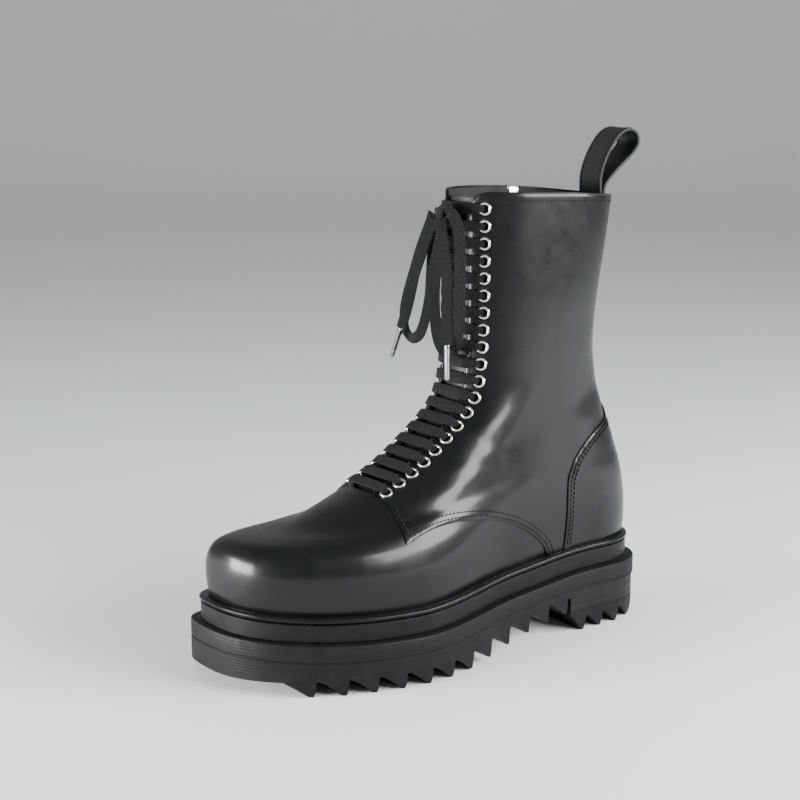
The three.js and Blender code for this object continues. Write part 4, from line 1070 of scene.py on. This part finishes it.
def make_binding():
    """Rolled edge of the collar and the facings."""
    heap = Heap()
    lateral = np.concatenate([FACING, CORNER[1:]])
    collar, rest = collar_lines(1, 200, 40)
    medial = mirrored(lateral[::-1])
    section = strip_section(1.3, UPPER_WALL + 0.3, 10, 2.6)
    for line in (np.concatenate([lateral, collar[1:]]), np.concatenate([rest, medial[1:]])):
        path = off_surface(line, -UPPER_WALL / 2)
        heap.add(*sweep(path, normal_at(*line.T), section))
    piece = heap.build("binding", LEATHER)
    return settle(piece, "leather")


SEAT_REACH = 1.5
SEAT_GAP = 0.1


def eyelet_seat(place):
    """How far a flat ring stands off the wall so that it clears a hollow bend."""
    centre = surface(*place)
    normal = normal_at(*place)
    per_s, per_t = lengths_per_unit(*place)
    turns = full_turn(12)
    ring = surface(place[0] + np.cos(turns) * EYELET_OUTER / per_s,
                   place[1] + np.sin(turns) * EYELET_OUTER / per_t)
    return CLEARANCE + max(0, ((ring - centre) @ normal).max()) * SEAT_REACH + SEAT_GAP


SEATS = [eyelet_seat(place) for place in EYELET_PLACES]


def make_eyelets():
    """Rolled metal rings: a section turned about each hole's axis."""
    heap = Heap()
    turns = full_turn(12)
    middle = (EYELET_OUTER + EYELET_HOLE) / 2
    half = (EYELET_OUTER - EYELET_HOLE) / 2
    profile = np.stack([middle + half * np.cos(turns), 0.1 + 0.65 * np.sin(turns)], axis=-1)
    around = full_turn(48)
    for place, seat in zip(EYELET_PLACES, SEATS):
        for st in (place, mirrored(place)):
            centre = surface(*st)
            normal = normal_at(*st)
            side = unit(np.cross(normal, (0, 0, 1.0)))
            up = np.cross(side, normal)
            spokes = np.cos(around)[:, None] * side + np.sin(around)[:, None] * up
            rings = (centre + spokes[:, None, :] * profile[None, :, 0, None]
                     + normal * (profile[None, :, 1, None] + seat))
            faces = ring_faces(len(around), len(profile), closed=True)
            heap.add(rings.reshape(-1, 3), [face[::-1] for face in faces])
    piece = heap.build("eyelets", METAL)
    names = [f"eyelet_{side}_{i + 1:02d}" for side in ("lateral", "medial") for i in range(EYELET_COUNT)]
    return settle(piece, "metal", *names)


# Laces
LACE_SECTION = ribbon_section(LACE_WIDTH, LACE_THICKNESS)
# Places across a bar in shares of half its span, with its height over the rings and its share of the
# full width there
BAR_ACROSS = np.array([-1.0, -0.93, -0.84, -0.72, -0.55, -0.3, 0, 0.3, 0.55, 0.72, 0.84, 0.93, 1.0])
BAR_LIFT = np.array([-1.6, 0.35, 0.9, 0.95, 0.85, 0.6, 0.5, 0.6, 0.85, 0.95, 0.9, 0.35, -1.6])
BAR_WIDTH = np.array([0.5, 0.62, 0.8, 0.94, 1, 1, 1, 1, 1, 0.94, 0.8, 0.62, 0.5])
BAR_POINTS = 37
BAR_STAND = 0.55
PULLED_HALF = 13
PULL = 0.7
OFF_CREST = 1e-6


def bar_course(place, x):
    """Heights at which a lace pulled straight between two eyelets crosses the surface, and the crest's
    direction."""
    eyelet = surface(*place)
    t = np.linspace(place[1] - 0.01, min(1.0, place[1] + 0.24), 70)
    crest = surface(np.zeros_like(t), t)
    directions = unit(np.gradient(crest, axis=0) * np.array([0, 1, 1]))
    middle = np.interp(0, ((crest - eyelet) * directions).sum(axis=1), t)
    along = unit(values_at(middle, t, directions))
    widths, heights = np.meshgrid(np.abs(x) + OFF_CREST, t, indexing="ij")
    reach = (surface(place_at_half(widths, heights), heights) - eyelet) @ along
    return np.array([np.interp(0, row, t) for row in reach]), along


def make_bars():
    """The twenty bars, each pulled straight over the throat from eyelet to eyelet."""
    heap = Heap()
    uv = []
    rows = np.stack([BAR_ACROSS, BAR_LIFT, BAR_WIDTH], axis=-1)
    across, lift, width = values_at(np.linspace(0, 12, BAR_POINTS), np.arange(13), rows).T
    x = across * EYELET_HALF_SPAN
    scale = np.stack([width, 1 + 0.25 * (1 - width)], axis=-1)
    for index, (place, seat) in enumerate(zip(EYELET_PLACES, SEATS)):
        t, along = bar_course(place, x)
        s = place_at_half(np.abs(x) + OFF_CREST, t)
        s = np.where(x < 0, 1 - s, s)
        base = surface(s, t)
        normal = normal_at(s, t)
        base[:, 0] = x
        outward = np.array([0, -along[2], along[1]])
        height = base @ outward
        edge = np.interp(PULLED_HALF, x, height)
        level = np.where(np.abs(x) < PULLED_HALF, mix(height, edge, PULL), height)
        base += outward * (eased(level) - height)[:, None]
        skew = 0.25 * math.sin(index * 2.4)
        path = base + normal * (eased(lift) + seat + BAR_STAND)[:, None]
        path += along * (skew * across)[:, None]
        heap.add(*sweep(path, np.cross(np.gradient(path, axis=0), along), LACE_SECTION, scale))
        uv.append(strip_uv(path, LACE_SECTION))
    piece = heap.build("bars", LACE, sharp=30)
    set_uv(piece, np.concatenate(uv))
    return settle(piece, "lace", "lace_bars")


# The bow's cords, as chosen points from the knot's centre
KNOT_DOWN = 14
KNOT_HALF = (7.5, 5, 6.5)
KNOT_GAP = 0.5
BUNDLE_HALF = 7.2
BAR_FRONT = 0.8 + LACE_THICKNESS
LOOP_LATERAL = (
    (7.6, -3.4, 2.2), (12.5, -3.2, 0.5), (16.6, -2.8, -6), (18.5, -2.6, -16), (18.9, -2.6, -30),
    (18.8, -2.6, -46), (18.6, -2.6, -60), (17.4, -2.6, -72), (13.4, -2.6, -82), (6.6, -2.6, -86.4),
    (-0.2, -2.6, -83), (-4.6, -2.6, -75), (-7, -2.6, -62), (-7.4, -2.6, -48), (-5.6, -2.6, -32),
    (-2.4, -2.8, -19), (0.8, -3.2, -9.6),
)
LOOP_MEDIAL = (
    (-10, -2.2, 0), (-12.6, -1.6, -4.4), (-18, -1.2, -13), (-25.6, -1, -26), (-33, -1, -41), (-39.4, -1, -56),
    (-42.6, -1, -68), (-40.6, -1, -77.6), (-33.4, -1, -82), (-25.4, -1, -78.4), (-19.6, -1, -68),
    (-15.6, -1, -54), (-13.6, -1, -40), (-12, -1, -27), (-9.6, -1.4, -15.4), (-6.4, -2.2, -7.4),
)
END_LATERAL = (
    (3.4, -6.2, -2), (5.6, -7.4, -7.6), (8.6, -7.8, -16), (12, -7.9, -30), (12.9, -7.9, -46),
    (12.7, -7.9, -62), (13, -7.9, -80),
)
END_MEDIAL = (
    (-3.6, -5.8, -2.4), (-7.6, -6.6, -10), (-13.6, -6.9, -22), (-21.6, -7, -38), (-27.8, -7, -54),
    (-32.6, -7, -66), (-37.4, -7, -75.6),
)


def knot_centre():
    front = surface(0.0, height_down(KNOT_DOWN))
    return np.array([1, front[1] - BAR_FRONT - KNOT_GAP - KNOT_HALF[1], front[2]])


KNOT = knot_centre()
LATERAL_FACING = (0.72, -0.69, 0)
MEDIAL_FACING = (0.35, -0.94, 0)


def make_cord(name, points, node, facing, twist, count=90):
    """A flat cord along chosen points, its face turned to facing, then by twist degrees at even places."""
    path = curve_through(np.asarray(points) + KNOT, count)
    _, across, face = frames_along(path, facing)
    turn = np.radians(np.interp(np.linspace(0, 1, count), np.linspace(0, 1, len(twist)), twist))[:, None]
    up = face * np.cos(turn) + across * np.sin(turn)
    piece = make_object(name, *sweep(path, up, LACE_SECTION), LACE, sharp=30)
    set_uv(piece, strip_uv(path, LACE_SECTION))
    settle(piece, "lace", node)
    return piece, path


def make_aglet(name, path, node):
    """A rolled metal tip with its lap seam."""
    direction = unit(path[-1] - path[-4])
    start = path[-1] - direction * 1.2
    places = np.array([0, 0.4, 1.2, 3, 10, 18, 22, 23.1, 23.4]) * AGLET_LENGTH / 22
    radius = np.array([0.6, 1.7, 2.0, 1.9, 1.75, 1.7, 1.68, 1.45, 0.5]) / AGLET_RADIUS * 2.0
    line = start + direction * places[:, None]
    section = strip_section(2, 2, 20, 2.0)
    section[5] *= 0.86
    scale = np.stack([radius, radius], axis=-1)
    piece = make_object(name, *sweep(line, (0, -1, 0.0), section, scale), TIP_METAL)
    return settle(piece, "metal", node)


def make_knot():
    """The knot: a folded bundle with a band wound round its middle."""
    heap = Heap()
    section = strip_section(LACE_WIDTH * 0.95, LACE_THICKNESS * 1.5, 14, 3.0)
    turns = full_turn(40)
    wrap = KNOT + np.stack([0.5 * np.sin(turns), -4.0 * np.cos(turns) - 0.1, 5.6 * np.sin(turns)], axis=-1)
    outward = np.stack([np.zeros(40), -np.cos(turns), np.sin(turns) * 0.8], axis=-1)
    points, _ = sweep(wrap, outward, section)
    faces = ring_faces(40, len(section), closed=True)
    heap.add(points, [face[::-1] for face in faces])
    share = np.linspace(-1, 1, 16)
    x = share * BUNDLE_HALF
    swell = np.stack([0.62 + 0.3 * np.abs(share), np.full(16, 1.5)], axis=-1)
    for dz, dy, tilt in ((2.6, -1.0, 0.22), (-2.2, -0.6, -0.25), (0.2, 1.2, 0.05)):
        bundle = KNOT + np.stack([x, dy - 1.2 * np.cos(share * 1.5), dz + tilt * x], axis=-1)
        heap.add(*sweep(bundle, (0, -1, 0.0), section, swell))
    piece = heap.build("knot", LACE)
    spots = np.array([vertex.co for vertex in piece.data.vertices]) / (LACE_WIDTH * METRE)
    set_uv(piece, np.stack([spots[:, 0], spots[:, 2]], axis=-1))
    return settle(piece, "lace", "lace_knot")


def make_bow():
    knot = make_knot()
    ends = (
        ("end_lateral", END_LATERAL, "lace_end_lateral", LATERAL_FACING, (0, 6, -4, 8, 0), "aglet_lateral"),
        ("end_medial", END_MEDIAL, "lace_end_medial", MEDIAL_FACING, (0, -10, 8, -14, 0), "aglet_medial"),
    )
    for index, (name, points, node, facing, twist, tip) in enumerate(ends):
        piece, path = make_cord(name, points, node, facing, twist, 60)
        aglet = make_aglet(f"tip_{name}", path, tip)
    loops = (
        ("loop_lateral", LOOP_LATERAL, "lace_loop_lateral", LATERAL_FACING, (0, 8, 4, -10, 0, 0, 10, -6, 0)),
        ("loop_medial", LOOP_MEDIAL, "lace_loop_medial", MEDIAL_FACING, (0, -12, 6, 0, 14, 0, -10, 8, 0)),
    )
    for name, points, node, facing, twist in loops:
        piece, path = make_cord(name, points, node, facing, twist, 130)


# Sole
SOLE_SHARP = 35
CUTTER_HALF = 80


def even_turns(count):
    """Loop positions spread evenly by length round the sole."""
    u = np.linspace(0, 1, 1441)
    length = lengths_along(np.stack(plan_at(sole_plan(0), u), axis=-1))
    return np.interp(np.arange(count) / count * length[-1], length, u)


SOLE_TURNS = even_turns(300)


def sole_rings(levels):
    """Rings round the sole. A level is an inset and a height above the ledge, or above the ground if flat."""
    rings = []
    for inset, height, flat in levels:
        x, y = plan_at(sole_plan(inset), SOLE_TURNS)
        z = np.full_like(y, height) if flat else ledge_height(y) + height
        rings.append(np.stack([x, y, z], axis=-1))
    return np.concatenate(rings)


def make_block(name, levels, material):
    """A closed block of sole rings, joined across its ends by strips."""
    points = sole_rings(levels)
    around = len(SOLE_TURNS)
    faces = ring_faces(len(levels), around, cap=False)
    half = around // 2
    for ring, top in ((0, False), (len(levels) - 1, True)):
        base = ring * around
        for i in range(half):
            strip = [base + i, base + i + 1, base + (around - i - 1) % around, base + (around - i) % around]
            strip = list(dict.fromkeys(strip))
            if len(strip) > 2:
                faces.append(strip if top else strip[::-1])
    return make_object(name, points, faces, material, sharp=SOLE_SHARP)


def sole_bottom(y):
    return ARCH_LIFT * smooth(FIRST_LUG + LUG_PITCH * 5.6, HEEL_FRONT, y) ** 0.8


def tooth(tip, tip_height, root_height, reach, fall):
    """One tooth: a hollow slope on the toe side, a flat tip and a steep face."""
    slope = [(mix(tip - reach, tip - LUG_TIP / 2, k), mix(root_height, tip_height, k ** 1.25))
             for k in (0, 0.25, 0.5, 0.75, 1)]
    return slope + [(tip + LUG_TIP / 2, tip_height), (tip + LUG_TIP / 2 + fall, root_height)]


def outsole_profile():
    outline = [(-SOLE_LENGTH, LUG_DEPTH)]
    for i in range(LUG_COUNT):
        tip = FIRST_LUG + i * LUG_PITCH
        low = float(sole_bottom(tip))
        outline += tooth(tip, low, low + LUG_DEPTH, LUG_PITCH - LUG_ROOT - LUG_TIP / 2 - LUG_FALL, LUG_FALL)
    outline += [(HEEL_FRONT - CLEARANCE, float(sole_bottom(HEEL_FRONT)) + LUG_DEPTH),
                (HEEL_FRONT - CLEARANCE, HEEL_SEAT + CLEARANCE), (SOLE_LENGTH, HEEL_SEAT + CLEARANCE),
                (SOLE_LENGTH, SOLE_LENGTH), (-SOLE_LENGTH, SOLE_LENGTH)]
    return outline


def toplift_profile():
    fall = 1.2
    reach = HEEL_LUG_PITCH - LUG_TIP / 2 - 2 * fall
    outline = [(HEEL_FRONT, TOP_LIFT)]
    outline += tooth(FIRST_HEEL_LUG, 0, TOP_LIFT - 2, FIRST_HEEL_LUG - HEEL_FRONT, fall)
    outline[-1] = (outline[-1][0], LUG_DEPTH)
    for i in range(1, HEEL_LUG_COUNT):
        outline += tooth(FIRST_HEEL_LUG + i * HEEL_LUG_PITCH, 0, LUG_DEPTH, reach, fall)
    final = FIRST_HEEL_LUG + HEEL_LUG_COUNT * HEEL_LUG_PITCH
    outline += tooth(final, 0, LUG_DEPTH, reach, 0)[:-2]
    outline += [(SOLE_LENGTH, 0), (SOLE_LENGTH, TOP_LIFT)]
    return outline


def prism(name, outline, half):
    count = len(outline)
    points = [(-half, y, z) for y, z in outline] + [(half, y, z) for y, z in outline]
    faces = [[i, (i + 1) % count, (i + 1) % count + count, i + count] for i in range(count)]
    faces += [list(range(count))[::-1], list(range(count, 2 * count))]
    return make_object(name, points, [face[::-1] for face in faces], RUBBER)


def trimmed(piece, outline):
    """Keeps what of a block lies inside a side view outline."""
    cutter = prism("cutter", outline, CUTTER_HALF)
    modifier = piece.modifiers.new("cut", "BOOLEAN")
    modifier.operation = "INTERSECT"
    modifier.solver = "EXACT"
    modifier.object = cutter
    graph = bpy.context.evaluated_depsgraph_get()
    mesh = bpy.data.meshes.new_from_object(piece.evaluated_get(graph))
    piece.modifiers.clear()
    old = piece.data
    piece.data = mesh
    bpy.data.meshes.remove(old)
    bpy.data.objects.remove(cutter)
    mesh.polygons.foreach_set("use_smooth", [True] * len(mesh.polygons))
    mesh.set_sharp_from_angle(angle=math.radians(SOLE_SHARP))
    return piece


def make_sole():
    outsole = make_block("sole", [
        (1.6, -1, True), (0.4, 2.5, True), (0, 7, True), (0, -11.6, False), (0.55, -11.2, False),
        (0.55, -10.6, False), (0, -10.2, False), (0, -1.2, False), (0.35, -0.4, False), (1.2, 0, False),
    ], RUBBER)
    settle(trimmed(outsole, outsole_profile()), "rubber", "outsole")
    heel = make_block("heel_stack", [
        (HEEL_INSET, TOP_LIFT, True), (HEEL_INSET, 17.6, True), (HEEL_INSET + 0.3, 17.8, True),
        (HEEL_INSET, 18.0, True), (HEEL_INSET, 22.9, True), (HEEL_INSET + 0.3, 23.1, True),
        (HEEL_INSET, 23.3, True), (HEEL_INSET, HEEL_SEAT + 1, True),
    ], STACK)
    foot = TOP_LIFT + CLEARANCE
    block = [(HEEL_FRONT, foot), (SOLE_LENGTH, foot), (SOLE_LENGTH, HEEL_SEAT), (HEEL_FRONT, HEEL_SEAT)]
    settle(trimmed(heel, block), "stack", "heel")
    lift = make_block("heel_tread", [
        (HEEL_INSET + 1.5, -1, True), (HEEL_INSET + 0.5, 3, True), (HEEL_INSET, 8, True),
        (HEEL_INSET, TOP_LIFT + 1, True),
    ], RUBBER)
    settle(trimmed(lift, toplift_profile()), "rubber", "heel_toplift")
    top = CLEARANCE + MIDSOLE_THICKNESS
    midsole = make_block("midsole_band", [
        (MIDSOLE_INSET + 0.5, CLEARANCE, False), (MIDSOLE_INSET, CLEARANCE + 0.5, False),
        (MIDSOLE_INSET, top - 0.5, False), (MIDSOLE_INSET + 0.5, top, False),
    ], BAND)
    settle(midsole, "band", "midsole")
    foot = MIDSOLE_THICKNESS + 2 * CLEARANCE
    inset = UPPER_INSET + UPPER_WALL + 0.7
    insole = make_block("footbed", [
        (inset, foot + 0.1, False), (inset, foot + INSOLE_THICKNESS - 0.6, False),
        (inset + 0.8, foot + INSOLE_THICKNESS, False),
    ], LINING)
    settle(insole, "lining", "insole")


def make_welt():
    """Rounded bead round the foot of the upper."""
    foot = MIDSOLE_THICKNESS + 2 * CLEARANCE
    inner = UPPER_INSET + 1.6
    middle = (inner + WELT_INSET) / 2
    turns = np.linspace(-math.pi / 2, math.pi / 2, 11)
    levels = [(inner, foot, False)]
    levels += [(middle - (middle - WELT_INSET) * math.cos(a) ** 0.8 if abs(a) < 1.57 else middle,
                foot + WELT_THICKNESS / 2 * (1 + math.sin(a)), False) for a in turns]
    levels += [(inner, foot + WELT_THICKNESS * 0.86, False)]
    points = sole_rings(levels)
    around = len(SOLE_TURNS)
    faces = ring_faces(len(levels), around, closed=True)
    piece = make_object("bead", points, faces, BEAD, sharp=50)
    return settle(piece, "bead", "welt")


# Pull loop and zip
LOOP_BEND = (
    (-9, 12.7), (-4, 25.7), (5, 37.7), (14, 42.2), (21.5, 39.7), (23, 32.7), (17, 25.7), (5, 16.7), (-5, 7.2),
)


def loop_path():
    rim = last_point(np.array(0.5), np.array(float(LAST_ROW)))
    outer_leg = -(UPPER_WALL + LOOP_SETBACK + LOOP_THICKNESS / 2)
    inner_leg = outer_leg - LOOP_THICKNESS - 0.6

    def leg(offset):
        v = np.array([LAST_ROW - 1, LAST_ROW - 0.5, LAST_ROW - 0.1])
        t = np.interp(v, ROW_VALUES, ROW_HEIGHTS)
        points = off_surface(np.stack([np.full(3, 0.5), t], axis=-1), offset)
        return [(point[1], point[2]) for point in points]

    bend = [(rim[1] + y, rim[2] + z) for y, z in LOOP_BEND]
    return np.array(leg(inner_leg) + bend + leg(outer_leg)[::-1])


def make_pull_loop():
    line = curve_through(loop_path(), 110)
    path = np.stack([np.zeros(len(line)), line[:, 0], line[:, 1]], axis=-1)
    up = np.cross(unit(np.gradient(path, axis=0)), np.array([1.0, 0, 0]))
    section = strip_section(LOOP_WIDTH, LOOP_THICKNESS, 20, 9)
    piece = make_object("heel_loop", *sweep(path, up, section), STRAP_LEATHER, sharp=50)
    settle(piece, "leather", "pull_loop")
    heap = Heap()
    for x in (-LOOP_WIDTH / 2 + 2.2, LOOP_WIDTH / 2 - 2.2):
        for sign in (1, -1):
            shifted = path + up * sign * LOOP_THICKNESS / 2 + np.array([x, 0, 0])
            add_stitches(heap, shifted[14:-14], up[14:-14] * sign, pitch=3.2, lift=0.1)
    stitches = heap.build("loop_stitching", THREAD)
    settle(stitches, "leather")


def rounded_copy(node, name, material, width):
    """A copy of a hard CAD piece with its edges broken."""
    piece = new_object(name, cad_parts[node].data.copy())
    weld = piece.modifiers.new("weld", "WELD")
    weld.merge_threshold = 0.00001
    flat = piece.modifiers.new("flat", "DECIMATE")
    flat.decimate_type = "DISSOLVE"
    flat.angle_limit = math.radians(2)
    bevel = piece.modifiers.new("bevel", "BEVEL")
    bevel.width = width * METRE
    bevel.segments = 3
    bevel.limit_method = "ANGLE"
    graph = bpy.context.evaluated_depsgraph_get()
    done = bpy.data.meshes.new_from_object(piece.evaluated_get(graph))
    piece.modifiers.clear()
    piece.data = done
    done.materials.clear()
    done.materials.append(material)
    done.polygons.foreach_set("use_smooth", [True] * len(done.polygons))
    done.set_sharp_from_angle(angle=math.radians(40))
    return piece


CHAIN_PITCH = 1.3
CHAIN_TOOTH = (1.5, 0.42, 0.42)


def make_zip():
    """Tape and chain in the slit, and rounded copies of the slider and its tab."""
    heights = np.linspace(ZIP_LOW + 1, COLLAR_HEIGHT - 9, 90)
    middle = side_curve(np.stack([zip_line_y(heights), heights], axis=-1), -1)
    path = off_surface(middle, -UPPER_WALL / 2)
    normals = normal_at(*middle.T)
    section = strip_section(ZIP_SLIT - 2 * CLEARANCE, 1.0, 12, 6)
    tape = make_object("tape", *sweep(path, normals, section), TAPE)
    settle(tape, "zip", "zip_tape")
    heap = Heap()
    length = lengths_along(path)
    tangent, across, _ = frames_along(path, normals)
    count = int(length[-1] / CHAIN_PITCH)
    box = np.array([(x, y, z) for x in (-1, 1) for y in (-1, 1) for z in (-1, 1)], float)
    box_faces = [[0, 1, 3, 2], [4, 6, 7, 5], [0, 4, 5, 1], [2, 3, 7, 6], [0, 2, 6, 4], [1, 5, 7, 3]]
    for i in range(count):
        at = (i + 0.5) * length[-1] / count
        spot, along, wide, out = (values_at(at, length, rows) for rows in (path, tangent, across, normals))
        side = 1 if i % 2 else -1
        centre = spot + wide * side * 1.05 + out * 0.75
        heap.add(centre + box * CHAIN_TOOTH @ np.stack([wide, along, out]), box_faces)
    chain = heap.build("chain", TAPE, sharp=30)
    settle(chain, "zip")
    settle(rounded_copy("zip_slider", "slider", METAL, 0.25), "metal", "zip_slider")
    settle(rounded_copy("zip_pull", "slider_tab", METAL, 0.25), "metal", "zip_pull", body=PULL_BODY)


# Floor and lights
def make_stage():
    """A seamless floor that rises far behind the boot, a soft sky and two soft boxes."""
    turns = np.linspace(0, math.pi / 2, 17)
    profile = [(-30.0, 0.0)] + [(3.0 + 2 * math.sin(a), 2 - 2 * math.cos(a)) for a in turns] + [(5.0, 9.0)]
    away = unit(np.subtract(CAMERA_TARGET, CAMERA_PLACE)[:2])
    aside = np.array([-away[1], away[0]])
    points = [(*(away * along + aside * side), up) for side in (-30, 30) for along, up in profile]
    count = len(profile)
    faces = [[i, i + 1, i + 1 + count, i + count] for i in range(count - 1)]
    mesh = bpy.data.meshes.new("floor")
    mesh.from_pydata([tuple(map(float, point)) for point in points], [], [face[::-1] for face in faces])
    mesh.polygons.foreach_set("use_smooth", [True] * len(mesh.polygons))
    floor = new_object("floor", mesh)
    material, _, _, shader = new_material("floor")
    shader.inputs["Base Color"].default_value = (0.86, 0.86, 0.87, 1)
    shader.inputs["Roughness"].default_value = 0.9
    shader.inputs["Specular IOR Level"].default_value = 0.1
    mesh.materials.append(material)
    world = bpy.data.worlds.new("studio")
    world.use_nodes = True
    world.node_tree.nodes["Background"].inputs["Color"].default_value = (0.80, 0.82, 0.85, 1)
    world.node_tree.nodes["Background"].inputs["Strength"].default_value = 0.5
    bpy.context.scene.world = world
    lights = (
        # name, place, target, width, height, watts
        ("front", (-240, -1150, 150), (0, -140, 90), 0.85, 0.45, 60),
        ("side", (960, 640, 560), (20, -20, 90), 1.25, 0.46, 46),
    )
    for name, place, target, width, height, watts in lights:
        data = bpy.data.lights.new(name, "AREA")
        data.shape = "RECTANGLE"
        data.size = width
        data.size_y = height
        data.energy = watts
        light = new_object(name, data)
        light.location = Vector(to_frame(place))
        aim = Vector(to_frame(target)) - light.location
        light.rotation_euler = aim.to_track_quat("-Z", "Y").to_euler()


make_bow()
make_stage()
make_quarters()
make_vamp()
make_counter()
make_lining()
make_tongue()
make_binding()
make_stitching()
make_eyelets()
make_bars()
make_sole()
make_welt()
make_pull_loop()
make_zip()
